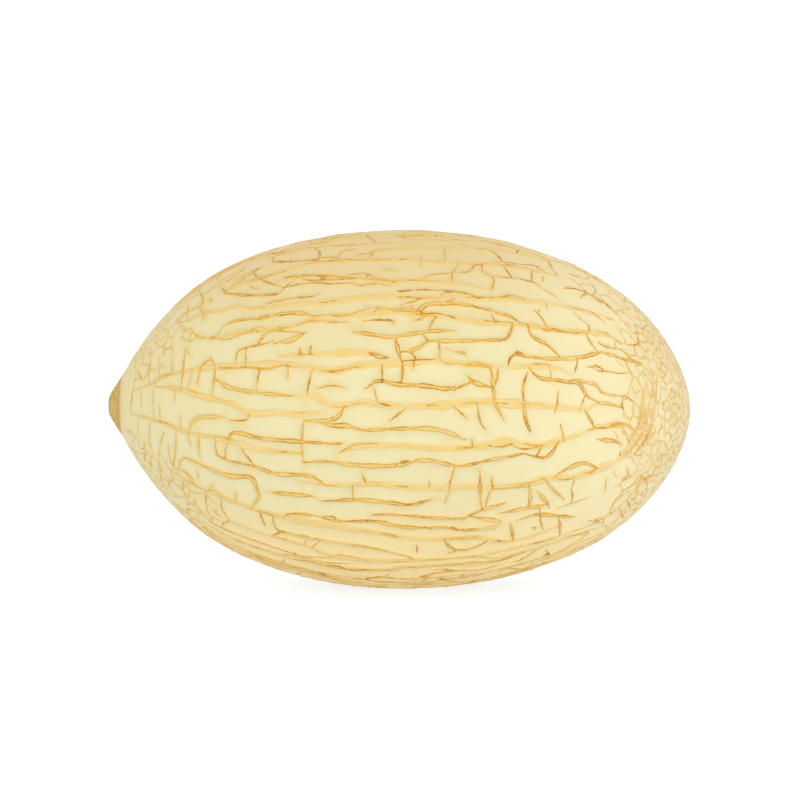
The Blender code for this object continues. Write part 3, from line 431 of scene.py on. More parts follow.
    ((38.5, -10), (39, -12), (39.6, -14.2)), ((55.3, -1.4), (58.5, -1.4), (62, -1.2), (63.2, 0.7)),
    ((29.8, -17), (30.3, -22), (30.6, -28)), ((20, -21), (19, -28)),
    ((36.2, -20.6), (34.8, -22.5), (33.8, -26)), ((54.5, -11), (53.8, -14)),
    ((59.4, -11.3), (59.6, -13.2)), ((32, -28.6), (37, -28), (39.5, -29.5), (39.8, -31.5), (38.6, -33)),
    ((45.8, -32.2), (49.5, -30.9), (53, -31)), ((25.3, -29), (25.2, -38), (24.6, -46)),
    ((18.3, -30), (18.5, -37), (17, -45)), ((21.3, -30), (21, -38), (20, -46)), ((40, -41), (40.1, -45)),
    ((46.5, -44), (49.8, -44.5)), ((184, 31.3), (186.5, 31.1), (189.3, 31.8)),
    ((176.5, 31.3), (181, 31.1)), ((191.6, 31), (192.4, 29.5), (193.5, 28.4), (195.4, 27.8)),
    ((196.3, 30.5), (197.4, 29.3), (200.5, 28.9), (203, 29.4)),
    ((198.7, 26.2), (200.2, 25.2), (203, 24.5)), ((207, 25.4), (207.3, 23.5), (208.3, 21.5), (209.4, 19)),
    ((205.5, 29.2), (207.5, 28), (208.8, 26.4)), ((213.8, 22.2), (215, 20.6)),
    ((188.4, 20.5), (188.1, 16.6)), ((191.3, 18.8), (193.5, 19.3), (194.6, 20.2)),
    ((192.5, 21), (195.5, 20.2), (198, 19.2)),
    ((193.3, 16.8), (196, 17.3), (198.5, 18.3), (203, 18.3), (207.5, 17.4)),
    ((205.4, 9.1), (206.8, 9.5), (208.4, 8.2)), ((209.3, 12.8), (210.7, 11)),
    ((188.3, 4.2), (189.4, 6.5), (190, 8.8)), ((181, 13.7), (182.2, 12.7)), ((182.8, 12.4), (185, 12)),
    ((206.3, 4.6), (206.3, 0.8)), ((182, -8), (183.4, -9.8)), ((191.1, -5.2), (193.8, -5.2)),
    ((194, -4.1), (199, -4.3), (203, -3.9)), ((200.3, -2.1), (202, -2.7), (205.2, -2.9)),
    ((203.6, -15.6), (204.6, -17.2)), ((179, -20.7), (180.5, -21.6), (183.5, -22.3), (188, -22.4)),
    ((186, -22), (186.3, -24), (185.2, -27.3)), ((192.6, -21.8), (193.3, -23), (194.7, -23.6)),
    ((199.5, -25.5), (199.3, -29), (199.2, -33)), ((193.4, -45.8), (195.2, -47.1)),
    ((196, -47.6), (198, -49)), ((196.8, -50.6), (198.4, -52.2)), ((195.6, -44.6), (198.4, -45.3)),
    ((215.3, -33.5), (217, -39), (218, -47)), ((209, -43), (210.5, -49), (212, -54)),
    ((185, -26), (186, -30), (185.6, -33)), ((181, -33.8), (187, -33), (193, -32.6)),
    ((205.5, -30.2), (210, -29.5)), ((208, -24), (208.7, -27.6), (210, -30)),
    ((193, -50), (198, -49), (203.4, -47.6), (208.4, -44.6)), ((90, -31.8), (94.5, -31.8), (96.6, -33)),
    ((104.5, -36.5), (109.3, -36.8)), ((111, -36.5), (115.5, -37.2), (119, -38)),
    ((89.6, -44.2), (87.5, -45.5), (86, -46.8)), ((93.3, -49.9), (97, -49), (103, -49.4), (107.5, -48.8)),
    ((84.3, -42.6), (83, -44.4)), ((99.5, -43), (102.3, -43.7)), ((108.3, -55.6), (112.4, -55.8)),
    ((112.5, -56.3), (116, -56.5), (120.3, -56)), ((98.5, -57), (101.4, -56.8)),
    ((87, -51.5), (92, -52.3)), ((78, -51.4), (81.2, -52)), ((129, -34.1), (131.8, -34.1)),
    ((142.2, -31.6), (145, -31.5), (148, -30.9)), ((149.9, -30.1), (152.8, -30)),
    ((173, -32), (173.4, -34.6)), ((171, -40.2), (172.4, -40.6), (171.4, -41.6)),
    ((130, -48.4), (134.3, -48.8)), ((137, -47.2), (138.8, -48.3)), ((139, -47.2), (142, -47.3)),
    ((144, -49.9), (147, -50.1), (149, -49.5)), ((155.5, -42.8), (160, -43.2)),
    ((167.3, -47.8), (168, -49.6)), ((172.8, -48.4), (174.8, -49.7)),
    ((177.2, -56), (178.3, -58.3), (179.6, -60.6)), ((133, -56.6), (137, -56.3), (142, -56.8)),
    ((129, -59.8), (134, -58.6), (143, -58.8)), ((123.5, -54), (127.5, -54.3)),
    ((146, -45.6), (149.5, -44.8), (152.5, -44.3)), ((85.5, -68), (92, -69.3), (100, -69.8), (107, -69)),
)

# More narrow strokes, high and low on the front alone: points read off three crops of the photo,
# enlarged six times. Each crop's corner is in the photo's own points
ENLARGEMENT = 6
UPPER_CORNER = (150, 240)
LOWER_LEFT_CORNER = (150, 548)
LOWER_RIGHT_CORNER = (400, 548)
UPPER_STROKES = (
    ((400, 205), (500, 165), (600, 125), (700, 90), (800, 80), (1020, 40)),
    ((330, 320), (440, 265), (520, 215), (580, 165)),
    ((460, 300), (520, 260), (600, 215), (690, 155)),
    ((450, 320), (540, 325), (640, 330), (720, 328), (790, 320), (800, 290)),
    ((520, 260), (620, 240), (730, 205)),
    ((735, 130), (840, 135), (960, 125), (1080, 110), (1200, 125), (1440, 125)),
    ((780, 230), (900, 215), (1000, 215), (1060, 240), (1180, 235), (1300, 235)),
    ((1190, 210), (1240, 205), (1300, 208), (1370, 235), (1440, 250)),
    ((1190, 255), (1250, 275), (1320, 270), (1440, 265)),
    ((440, 500), (500, 490), (620, 470), (700, 460), (760, 455)),
    ((960, 465), (1060, 455), (1180, 460), (1260, 430), (1360, 405), (1440, 420)),
    ((700, 385), (800, 365), (900, 350), (1000, 350)),
)
LOWER_LEFT_STROKES = (
    ((500, 0), (560, 20), (640, 60), (740, 100), (860, 125), (960, 145), (1080, 165), (1200, 182),
     (1290, 185)),
    ((600, 20), (700, 70), (800, 100), (900, 120), (1000, 150), (1150, 190), (1300, 205)),
    ((750, 25), (850, 40), (960, 60), (1080, 85), (1200, 90)),
    ((870, 70), (950, 72), (1050, 95), (1130, 105), (1200, 125), (1320, 125), (1500, 130)),
    ((1290, 185), (1350, 172), (1440, 172), (1500, 185)),
    ((1290, 185), (1340, 195), (1440, 198), (1500, 195)),
)
LOWER_RIGHT_STROKES = (
    ((0, 95), (80, 112), (150, 108), (270, 100), (400, 85), (560, 75), (640, 60), (740, 20)),
    ((100, 165), (180, 155), (260, 135), (380, 130), (480, 125), (600, 95)),
    ((0, 185), (100, 180), (200, 150), (300, 145)),
    ((0, 210), (60, 205), (170, 205), (280, 180), (420, 170), (560, 130), (700, 100)),
    ((200, 175), (320, 195), (420, 200), (560, 170), (680, 145), (800, 110), (900, 75)),
    ((690, 80), (760, 45), (830, 5)),
    ((930, 30), (980, 10)),
    ((580, 150), (640, 120), (740, 120), (800, 95)),
    ((400, 62), (480, 50), (560, 55), (640, 30)),
)
FRONT_STROKES = (
    (UPPER_CORNER, UPPER_STROKES),
    (LOWER_LEFT_CORNER, LOWER_LEFT_STROKES),
    (LOWER_RIGHT_CORNER, LOWER_RIGHT_STROKES),
)

# Where such a stroke may lie: stations in millimetres and degrees up from the front, each with its step, and
# how far off the skin a point of it may be, in the photo's points
READ_STATIONS_MM = (12, 224, 0.25)
READ_DEGREES = (-79, 79, 0.25)
FARTHEST_READING = 1.5

# Hidden parts of the net: strips over the top and underneath, each its middle, half span and spacing in
# degrees, of broken lines that wander by up to so many degrees, with rungs between them
STRIPS = ((97, 24, 3.7), (-90, 28, 3.1))
STRIP_START_MM = 24
STRIP_START_SCATTER_MM = 14
STRIP_END_MM = 206
STRIP_END_SCATTER_MM = (-8, 4)
STRIP_SHORTEST_MM = 20
STRIP_PIECE_MM = (26, 64)
STRIP_BREAK_MM = (3, 10)
STRIP_STEP_MM = 13
STRIP_WANDER = 1.6
RUNG_CHANCE = 0.7
RUNG_MARGIN_MM = 5
RUNG_REACHES = (0.6, 1.0)
RUNG_SLANT_MM = 4

# How the back's routes differ from the front's: they slide along the melon, turn round it and ripple, by
# waves whose radian is as long as their spread
BACK_SLIDE_MM = 5.0
BACK_SLIDE_SPREAD_DEGREES = 19
BACK_SLIDE_START = 1.3
BACK_TURN_DEGREES = 3.0
BACK_TURN_SPREAD_MM = 17
BACK_TURN_SPREAD_DEGREES = 31
BACK_RIPPLE_DEGREES = 1.6
BACK_RIPPLE_SPREAD_MM = 7.3

# Where the routes of both sides stop, short of the cap's fine cells
ROUTES_END_MM = 222

Line = namedtuple("Line", "points half_width height strength")
Cells = namedtuple("Cells", "spacing stations shares spans strength soft")
NetShares = namedtuple("NetShares", "band border cord fill rim dark")

# Fine cells near the blossom and near the stem: how far apart, at which stations in millimetres what share
# of their borders is there, between which degrees round, how strong, and what share of them is soft
CAP = Cells(0.0048, (200, 214, 238.6), (0.0, 0.9, 0.9), ((-180, 180),), 0.55, 0.6)
SHOULDER = Cells(0.0080, (178, 204, 222), (0.0, 0.8, 0.0), ((50, 130), (-130, -50)), 0.6, 0.4)
COLLAR = Cells(0.0052, (9, 13, 27, 52), (0.8, 0.9, 0.9, 0.0), ((24, 156), (-156, -25)), 0.5, 0.35)
CELL_SCATTER = 0.46
CELL_BEND = 0.22
FEWEST_CELLS = 5


def radius_at(station):
    """The radius of the body at each station, before its width share."""
    station = np.asarray(station, float)
    stem_side = station < WIDEST_STATION
    reach = np.where(stem_side, WIDEST_STATION, LENGTH - WIDEST_STATION)
    share = np.clip(np.abs(station - WIDEST_STATION) / reach, 0, 1)
    stem_power = STEM_FULLNESS + STEM_TAPER * share**STEM_TAPER_POWER
    blossom_power = BLOSSOM_FULLNESS + BLOSSOM_TAPER * share**BLOSSOM_TAPER_POWER
    body = HALF_HEIGHT * (1 - share**2) ** np.where(stem_side, stem_power, blossom_power)
    nose = np.sqrt(np.clip(station * (2 * NOSE_RADIUS - station), 0, None)) * (station < NOSE_RADIUS)
    return (body**NOSE_BLEND + nose**NOSE_BLEND) ** (1 / NOSE_BLEND)


class Skin:
    """The smooth body, with places given by latitude and angle.

    The latitude is the integral of arc length over radius, so a small shape keeps its angles between
    the skin and the flat (latitude, angle) chart.
    """

    def __init__(self, samples=3000):
        turn = np.linspace(0, math.pi, samples + 1)[1:-1]
        front = WIDEST_STATION * (1 - np.cos(turn))
        rear = WIDEST_STATION - (LENGTH - WIDEST_STATION) * np.cos(turn)
        self.station = np.where(turn < math.pi / 2, front, rear)
        self.radius = radius_at(self.station)
        ahead, out = np.diff(self.station), np.diff(self.radius)
        middle_radius = (self.radius[1:] + self.radius[:-1]) / 2
        self.latitude = np.concatenate([[0], np.cumsum(np.hypot(ahead, out) / middle_radius)])
        self.latitude -= np.interp(WIDEST_STATION, self.station, self.latitude)
        slope = np.gradient(self.radius) / np.gradient(self.station)
        self.normal_ahead = -slope / np.hypot(1, slope)
        self.normal_out = 1 / np.hypot(1, slope)

    def latitude_of(self, station):
        return np.interp(station, self.station, self.latitude)

    def station_of(self, latitude):
        return float(np.interp(latitude, self.latitude, self.station))

    def latitude_of_end(self, radius, blossom):
        """The latitude of the ring of this radius near one of the two ends."""
        half = self.station > WIDEST_STATION if blossom else self.station < WIDEST_STATION
        radii, latitudes = self.radius[half], self.latitude[half]
        order = np.argsort(radii)
        return float(np.interp(radius, radii[order], latitudes[order]))

    def radius_of(self, latitude):
        return np.interp(latitude, self.latitude, self.radius)

    def places(self, latitude, angle, lift=0.0):
        """Points over the skin as an array of (x, y, z), resting as the melon does."""
        station = np.interp(latitude, self.latitude, self.station)
        radius = self.radius_of(latitude) + lift * np.interp(latitude, self.latitude, self.normal_out)
        ahead = station + lift * np.interp(latitude, self.latitude, self.normal_ahead)
        bend_share = np.clip((STEM_RISE_REACH - station) / STEM_RISE_REACH, 0, 1)
        height = MIDDLE_HEIGHT + STEM_RISE * bend_share**STEM_RISE_POWER
        across = -WIDTH_SHARE * radius * np.cos(angle)
        return np.stack([ahead - LENGTH / 2, across, radius * np.sin(angle) + height], axis=-1)


def in_flat(skin, latitude, angle):
    """Whether each place lies on the flat spot that the melon rests on."""
    ahead = (latitude - skin.latitude_of(WIDEST_STATION)) * HALF_HEIGHT / FLAT_HALF_LENGTH
    turned = (angle + FROM_BELOW) % math.tau - math.pi
    return ahead**2 + (turned * HALF_HEIGHT / FLAT_HALF_WIDTH) ** 2 < FLAT_MARGIN**2


def smooth_route(skin, route, step):
    """Evenly spaced (latitude, angle) points along a smooth curve through a route's own points.

    Each stretch is a cubic that leaves a point in the direction between the points on either side.
    """
    knots = np.array([(float(skin.latitude_of(mm / MM_PER_METRE)), math.radians(deg)) for mm, deg in route])
    knots = np.vstack([2 * knots[0] - knots[1], knots, 2 * knots[-1] - knots[-2]])
    share = np.linspace(0, 1, CURVE_STEPS, endpoint=False)[:, None]
    pieces = []
    for before, start, end, after in zip(knots, knots[1:], knots[2:], knots[3:]):
        pieces.append(
            0.5 * (2 * start + (end - before) * share
                   + (2 * before - 5 * start + 4 * end - after) * share**2
                   + (3 * start - before - 3 * end + after) * share**3)
        )
    fine = np.vstack(pieces + [knots[-2:-1]])
    stretch = skin.radius_of((fine[1:, 0] + fine[:-1, 0]) / 2)
    along = np.concatenate([[0], np.cumsum(np.hypot(*np.diff(fine, axis=0).T) * stretch)])
    count = max(2, round(along[-1] / step) + 1)
    even = np.linspace(0, along[-1], count)
    return np.stack([np.interp(even, along, fine[:, 0]), np.interp(even, along, fine[:, 1])], axis=1)


def back_route(route):
    """A front route turned half round to the back, and warped so that it isn't the same again."""
    turned = []
    for mm, deg in route:
        slide = BACK_SLIDE_MM * math.sin(deg / BACK_SLIDE_SPREAD_DEGREES + BACK_SLIDE_START)
        slide *= math.sin(math.pi * mm / (MM_PER_METRE * LENGTH))
        turn = BACK_TURN_DEGREES * math.sin(mm / BACK_TURN_SPREAD_MM + deg / BACK_TURN_SPREAD_DEGREES)
        turn += BACK_RIPPLE_DEGREES * math.sin(mm / BACK_RIPPLE_SPREAD_MM)
        turned.append((mm + slide, 180 + deg + turn))
    return turned


def strip_routes(rng):
    """Long bands with breaks, and rungs that run off them, over the top and underneath."""
    bands, rungs = [], []
    for centre, half_span, spacing in STRIPS:
        count = round(2 * half_span / spacing) + 1
        for line in range(count):
            angle = centre - half_span + 2 * half_span * line / (count - 1)
            mm = STRIP_START_MM + rng.uniform(0, STRIP_START_SCATTER_MM)
            while mm < STRIP_END_MM - STRIP_SHORTEST_MM:
                piece_end = mm + rng.uniform(*STRIP_PIECE_MM)
                end = min(piece_end, STRIP_END_MM + rng.uniform(*STRIP_END_SCATTER_MM))
                steps = max(2, round((end - mm) / STRIP_STEP_MM))
                bands.append([
                    (mm + (end - mm) * k / steps, angle + rng.uniform(-STRIP_WANDER, STRIP_WANDER))
                    for k in range(steps + 1)
                ])
                if rng.random() < RUNG_CHANCE:
                    at = rng.uniform(mm + RUNG_MARGIN_MM, end - RUNG_MARGIN_MM)
                    reach = rng.choice((-1, 1)) * spacing * rng.uniform(*RUNG_REACHES)
                    slant = rng.uniform(-RUNG_SLANT_MM, RUNG_SLANT_MM)
                    rungs.append([(at, angle), (at + slant, angle + reach)])
                mm = end + rng.uniform(*STRIP_BREAK_MM)
    return bands, rungs


def cell_routes(skin, rng, cells):
    """The borders of scattered cells near one end, each with a small bend in its middle."""
    seeds = []
    ends_mm = cells.stations[0], cells.stations[-1]
    first, last = (float(skin.latitude_of(mm / MM_PER_METRE)) for mm in ends_mm)
    latitude = first
    row = 0
    while latitude < last:
        count = max(FEWEST_CELLS, round(math.tau * float(skin.radius_of(latitude)) / cells.spacing))
        for k in range(count):
            ahead = latitude + rng.uniform(-CELL_SCATTER, CELL_SCATTER) * math.tau / count
            angle = math.tau * (k + 0.5 * (row % 2) + rng.uniform(-CELL_SCATTER, CELL_SCATTER)) / count
            seeds.append(on_map(ahead, angle))
        latitude += ROW_SHARE * math.tau / count
        row += 1
    seeds, _, faces, _, _, _ = delaunay_2d_cdt(seeds, [], [], 0, CHART_MERGE)
    centres = [middle_of(*(complex(*seeds[corner]) for corner in face)) for face in faces]
    borders = {}
    for index, corners in enumerate(faces):
        for pair in zip(corners, corners[1:] + corners[:1]):
            borders.setdefault(frozenset(pair), []).append(index)
    routes = []
    for sides in borders.values():
        ends = [spot_of(centres[side]) for side in sides]
        if len(ends) < 2 or min(ends)[0] < first or max(ends)[0] > last:
            continue
        start, end = ends
        end = (end[0], end[1] - round((end[1] - start[1]) / math.tau) * math.tau)
        bend = rng.uniform(-CELL_BEND, CELL_BEND)
        middle = (
            (start[0] + end[0]) / 2 - bend * (end[1] - start[1]),
            (start[1] + end[1]) / 2 + bend * (end[0] - start[0]),
        )
        spots = start, middle, end
        route = [(MM_PER_METRE * skin.station_of(spot[0]), math.degrees(spot[1])) for spot in spots]
        mm, turned = route[1][0], (route[1][1] + 180) % 360 - 180
        inside = any(low <= turned <= high for low, high in cells.spans)
        if inside and rng.random() < np.interp(mm, cells.stations, cells.shares):
            routes.append(route)
    return routes


def middle_of(a, b, c):
    """The middle of the circle through three points of the round map."""
    b, c = b - a, c - a
    across = 2 * (b.real * c.imag - b.imag * c.real)
    return a - 1j * (c * abs(b) ** 2 - b * abs(c) ** 2) / across


def in_front_of_cap(route):
    """The part of a route that stops short of the cap's cells."""
    return [(mm, deg) for mm, deg in route if mm <= ROUTES_END_MM]


def both_sides(routes):
    """Front routes and their turned copies on the back, cut short of the blossom cap."""
    return [in_front_of_cap(route) for route in list(routes) + [back_route(route) for route in routes]]


def seen_by_camera(places):
    """Where the camera sees places on the skin, across and down in the photo's points."""
    level, tilt = math.cos(CAMERA_ELEVATION), math.sin(CAMERA_ELEVATION)
    height = places[..., 2] - MIDDLE_HEIGHT
    away = CAMERA_DISTANCE + places[..., 1] * level - height * tilt
    focus = LENS / SENSOR_WIDTH * PHOTO_WIDTH
    across = PHOTO_MIDDLE[0] + focus * places[..., 0] / away
    down = PHOTO_MIDDLE[1] - focus * (height * level + places[..., 1] * tilt) / away
    return across, down


def routes_off_photo(skin):
    """The front's strokes that were read off the photo, as routes over the skin."""
    stations, degrees = np.arange(*READ_STATIONS_MM), np.arange(*READ_DEGREES)
    latitudes = skin.latitude_of(stations / MM_PER_METRE)
    latitudes, angles = np.meshgrid(latitudes, np.radians(degrees), indexing="ij")
    across, down = seen_by_camera(skin.places(latitudes, angles))
    routes = []
    for corner, strokes in FRONT_STROKES:
        for stroke in strokes:
            route = []
            for x, y in stroke:
                x, y = corner[0] + x / ENLARGEMENT, corner[1] + y / ENLARGEMENT
                gap = np.hypot(across - x, down - y)
                row, column = np.unravel_index(gap.argmin(), gap.shape)
                if gap[row, column] < FARTHEST_READING:
                    route.append((float(stations[row]), float(degrees[column])))
            routes.append(route)
    return routes


class Net:
    """The lines of the raised net: soft broad bands, and crisp cords with rungs and ticks."""

    def __init__(self, skin, sizes):
        self.skin = skin
        self.sizes = sizes
        self.rng = random.Random(WIDTH_SEED)
        strip_rng = random.Random(NET_SEED)
        strip_bands, strip_rungs = strip_routes(strip_rng)
        self.bands = self.lines(both_sides(BANDS), sizes.band_half_width, sizes.band_height, BAND_TIP, 1.0)
        self.slim()
        strips = self.lines(strip_bands, sizes.strip_half_width, sizes.band_height, BAND_TIP, 1.0)
        self.bands += strips
        height = sizes.cord_height
        self.cords = self.lines(both_sides(CORDS), sizes.cord_half_width, height, CORD_TIP, 1.0)
        cracks = both_sides(CRACKS) + routes_off_photo(skin) + strip_rungs
        self.cords += self.lines(cracks, sizes.crack_half_width, height, CORD_TIP, CRACK_STRENGTH)
        for cells in (CAP, SHOULDER, COLLAR):
            soft, crisp = [], []
            for border in cell_routes(skin, strip_rng, cells):
                (soft if strip_rng.random() < cells.soft else crisp).append(border)
            low = height * cells.strength
            self.bands += self.lines(soft, sizes.soft_half_width, low, CORD_TIP, 1.0)
            self.cords += self.lines(crisp, sizes.cell_half_width, low, CORD_TIP, cells.strength)
        self.join_ends()
        self.cords += self.splits(self.bands) + self.ticks(strips)

    def slim(self):
        """Makes the bands narrower towards the stem."""
        for line in self.bands:
            stations = np.interp(line.points[:, 0], self.skin.latitude, self.skin.station)
            line.half_width[:] = line.half_width * np.interp(stations, SLIM_STATIONS, SLIM_SHARES)

    def lines(self, routes, half_width, height, tip, strength):
        """Each route as a line whose width swells, wavers and runs out towards its loose ends."""
        made = []
        for route in routes:
            if len(route) < 2:
                continue
            points = smooth_route(self.skin, route, LINE_STEP)
            if len(points) * LINE_STEP >= SHORTEST_LINE:
                made.append(self.line(points, half_width, height, tip, strength))
        return made

    def line(self, points, half_width, height, tip, strength):
        """One line along evenly spaced points, with its width, height and strength at each."""
        along = np.arange(len(points)) * LINE_STEP
        length = along[-1]
        waver = 1
        for share, reach in WAVERS:
            waver = waver + share * np.sin(along / reach + self.rng.uniform(0, math.tau))
        swell = END_WIDTH + MIDDLE_SWELL * np.sin(math.pi * along / length) * self.rng.uniform(*SWELL_RANGE)
        reach = min(tip, LONGEST_TIP * length)
        taper = np.sqrt(np.clip(np.minimum(along, length - along) / reach, 0, 1))
        widths = np.maximum(half_width * waver * swell * taper, NARROWEST)
        heights = height * (TIP_HEIGHT + (1 - TIP_HEIGHT) * taper) * (1 - WAVER_HEIGHT + WAVER_HEIGHT * waver)
        strengths = np.full(len(points), strength * self.rng.uniform(*STRENGTH_RANGE))
        return Line(points, widths, heights, strengths)

    def join_ends(self):
        """Draws a loose end that all but touches another line onto it, over the last stretch of its route."""
        everything = self.bands + self.cords
        tree = KDTree(sum(len(line.points) for line in everything))
        owner = []
        for index, line in enumerate(everything):
            for row, place in enumerate(self.skin.places(line.points[:, 0], line.points[:, 1])):
                tree.insert(place, len(owner))
                owner.append((index, row))
        tree.balance()
        moves = []
        for index, line in enumerate(everything):
            for end in (0, -1):
                place = self.skin.places(*line.points[end])
                for _, number, _ in tree.find_range(place, JOIN_REACH):
                    other, row = owner[number]
                    if other != index:
                        moves.append((line, end, everything[other].points[row].copy()))
                        break
        for line, end, target in moves:
            shift = target - line.points[end]
            shift[1] -= round(shift[1] / math.tau) * math.tau
            along = np.arange(len(line.points)) * LINE_STEP
            weight = np.clip(1 - (along if end == 0 else along[::-1]) / JOIN_BLEND, 0, 1) ** 2
            line.points[:] = line.points + weight[:, None] * shift

    def side_crack(self, points):
        """A thin crack that goes with another line, of a strength drawn for it."""
        sizes = self.sizes
        strength = self.rng.uniform(*SIDE_CRACK_STRENGTHS)
        return self.line(points, sizes.crack_half_width, sizes.cord_height, CORD_TIP, strength)

    def splits(self, bands):
        """Crisp cracks that open along soft bands."""
        made = []
        for band in bands:
            row = self.rng.randint(*SPLIT_STARTS)
            while row < len(band.points) - SPLIT_END_STEPS:
                count = self.rng.randint(*SPLIT_STEPS)
                stretch = band.points[row:row + count]
                if len(stretch) > SPLIT_LEAST_STEPS:
                    aside = self.rng.uniform(-SPLIT_ASIDE, SPLIT_ASIDE) * self.sizes.band_half_width
                    made.append(self.side_crack(beside(self.skin, stretch, aside)))
                row += count + self.rng.randint(*SPLIT_GAPS)
        return made

    def ticks(self, lines):
        """Short cracks that run off the sides of lines."""
        made = []
        for line in lines:
            row = self.rng.randint(*TICK_STARTS)
            while row < len(line.points) - TICK_END_STEPS:
                start = line.points[row]
                way = line.points[row + 1] - line.points[row - 1]
                side = self.rng.choice((-1, 1))
                turn = math.atan2(way[1], way[0]) + side * math.radians(self.rng.uniform(*TICK_DEGREES))
                reach = self.rng.uniform(*TICK_LENGTHS) / float(self.skin.radius_of(start[0]))
                count = max(TICK_LEAST_POINTS, round(reach * HALF_HEIGHT / LINE_STEP))
                share = np.linspace(0, 1, count)[:, None]
                bow = self.rng.uniform(-TICK_BOW, TICK_BOW) * np.sin(math.pi * share)
                across = np.array((-math.sin(turn), math.cos(turn)))
                points = start + reach * (share * (math.cos(turn), math.sin(turn)) + bow * across)
                made.append(self.side_crack(points))
                row += self.rng.randint(*TICK_GAPS)
        return made


def beside(skin, points, aside):
    """A line's points moved sideways by a distance over the skin."""
    way = np.gradient(points, axis=0)
    way /= np.hypot(*way.T)[:, None]
    across = np.stack([-way[:, 1], way[:, 0]], axis=1)
    return points + across * np.asarray(aside / skin.radius_of(points[:, 0])).reshape(-1, 1)


class Ground:
    """The skin's mesh points, close together along the net's lines and wide apart over bare skin."""

    def __init__(self, skin):
        self.skin = skin
        self.spots = []
        self.places = []
        self.cubes = {}
        self.crests = []
        self.last_latitude = skin.latitude_of_end(BLOSSOM_RING_RADIUS, blossom=True)

    def near(self, place):
        """The index of a point that is nearer to a place than the least gap, or None."""
        cube = cube_of(place)
        for shift in NEIGHBOURS:
            for index in self.cubes.get((cube[0] + shift[0], cube[1] + shift[1], cube[2] + shift[2]), ()):
                x, y, z = self.places[index]
                gap_squared = (x - place[0]) ** 2 + (y - place[1]) ** 2 + (z - place[2]) ** 2
                if gap_squared < LEAST_GAP * LEAST_GAP:
                    return index
        return None

    def put(self, spot, place):
        """Adds a point, and gives its index."""
        self.cubes.setdefault(cube_of(place), []).append(len(self.spots))
        self.spots.append((float(spot[0]), float(spot[1])))
        self.places.append(tuple(place))
        return len(self.spots) - 1

    def add_row(self, spots, joined=False):
        """Adds a row of points, leaving out those too near another, and joins them by edges if asked."""
        places = self.skin.places(spots[:, 0], spots[:, 1]).tolist()
        kept = (spots[:, 0] < self.last_latitude) & ~in_flat(self.skin, spots[:, 0], spots[:, 1])
        before = None
        for spot, place, keep in zip(spots.tolist(), places, kept.tolist()):
            if not keep:
                before = None
                continue
            index = self.near(place)
            if index is None:
                index = self.put(spot, place)
            if joined and before is not None and before != index:
                self.crests.append((before, index))
            before = index

    def add_line(self, line, stride):
        """A line's crest, joined by edges, and the points beside it."""
        rows = list(range(0, len(line.points) - 1, stride)) + [len(line.points) - 1]
        crest = line.points[rows]
        self.add_row(crest, joined=True)
        return crest, line.half_width[rows]

    def add_net(self, net):
        """The crests of every line, and the rows of points on both sides of them."""
        crests = [self.add_line(line, BAND_STRIDE) for line in net.bands]
        crests += [self.add_line(line, CORD_STRIDE) for line in net.cords]
        for share in RIBBON_SHARES:
            for crest, half_width in crests:
                aside = share * half_width
                if share == RIBBON_SHARES[-1]:
                    aside = np.maximum(aside, half_width + RIBBON_MARGIN)
                for side in (-1, 1):
                    self.add_row(beside(self.skin, crest, side * aside))

    def add_scars(self, stem_middle):
        """Closer points over the two scars, and the ring that ends the map at the blossom pole."""
        turns = np.arange(BLOSSOM_RING_CORNERS) * math.tau / BLOSSOM_RING_CORNERS
        for spot in zip(np.full(len(turns), self.last_latitude), turns):
            self.put(spot, self.skin.places(*spot))
        scale = stem_middle / STEM_SCAR_TURN
        middle = complex(stem_middle)
        self.put(spot_of(middle), self.skin.places(*spot_of(middle)))
        for radius in np.arange(SCAR_STEP, STEM_SCAR_REACH, SCAR_STEP):
            count = round(math.tau * radius / SCAR_STEP)
            around = np.exp(1j * math.tau * (np.arange(count) + 0.5 * (count % 2)) / count)
            spots = np.array([spot_of(middle + radius * scale * way) for way in around])
            self.add_row(spots)
        for radius in np.arange(BLOSSOM_RING_RADIUS + SCAR_STEP, BLOSSOM_SCAR_REACH, SCAR_STEP):
            count = round(math.tau * radius / SCAR_STEP)
            angles = math.tau * (np.arange(count) + 0.5 * (count % 2)) / count
            latitude = self.skin.latitude_of_end(radius, blossom=True)
            self.add_row(np.stack([np.full(count, latitude), angles], axis=1))

    def add_filling(self):
        """Points in staggered rows over the bare skin between the lines."""
        tree = KDTree(len(self.places))
        for index, place in enumerate(self.places):
            tree.insert(place, index)
        tree.balance()
        latitude = self.skin.latitude_of_end(STEM_SCAR_REACH, blossom=False)
        row = 0
        while latitude < self.last_latitude:
            radius = float(self.skin.radius_of(latitude))
            step = min(FILL_STEP, FILL_STEP_AT_POLE + FILL_STEP_GROWTH * radius)
            count = round(math.tau * radius / step)
            for angle in math.tau * (np.arange(count) + 0.5 * (row % 2)) / count:
                place = self.skin.places(latitude, angle)
                if tree.find(place)[2] > FILL_GAP_SHARE * step:
                    self.put((latitude, angle), place)
            latitude += step * ROW_SHARE / radius
            row += 1


def on_map(latitude, angle):
    """The place's position on the round map, as far out as its latitude's exponential."""
    return Vector((math.exp(latitude) * math.cos(angle), math.exp(latitude) * math.sin(angle)))


def spot_of(position):
    """The (latitude, angle) of a position on the round map."""
    return math.log(abs(position)), math.atan2(position.imag, position.real)


def cube_of(place):
    """The small cube of space that a place lies in."""
    return tuple(math.floor(value / LEAST_GAP) for value in place)


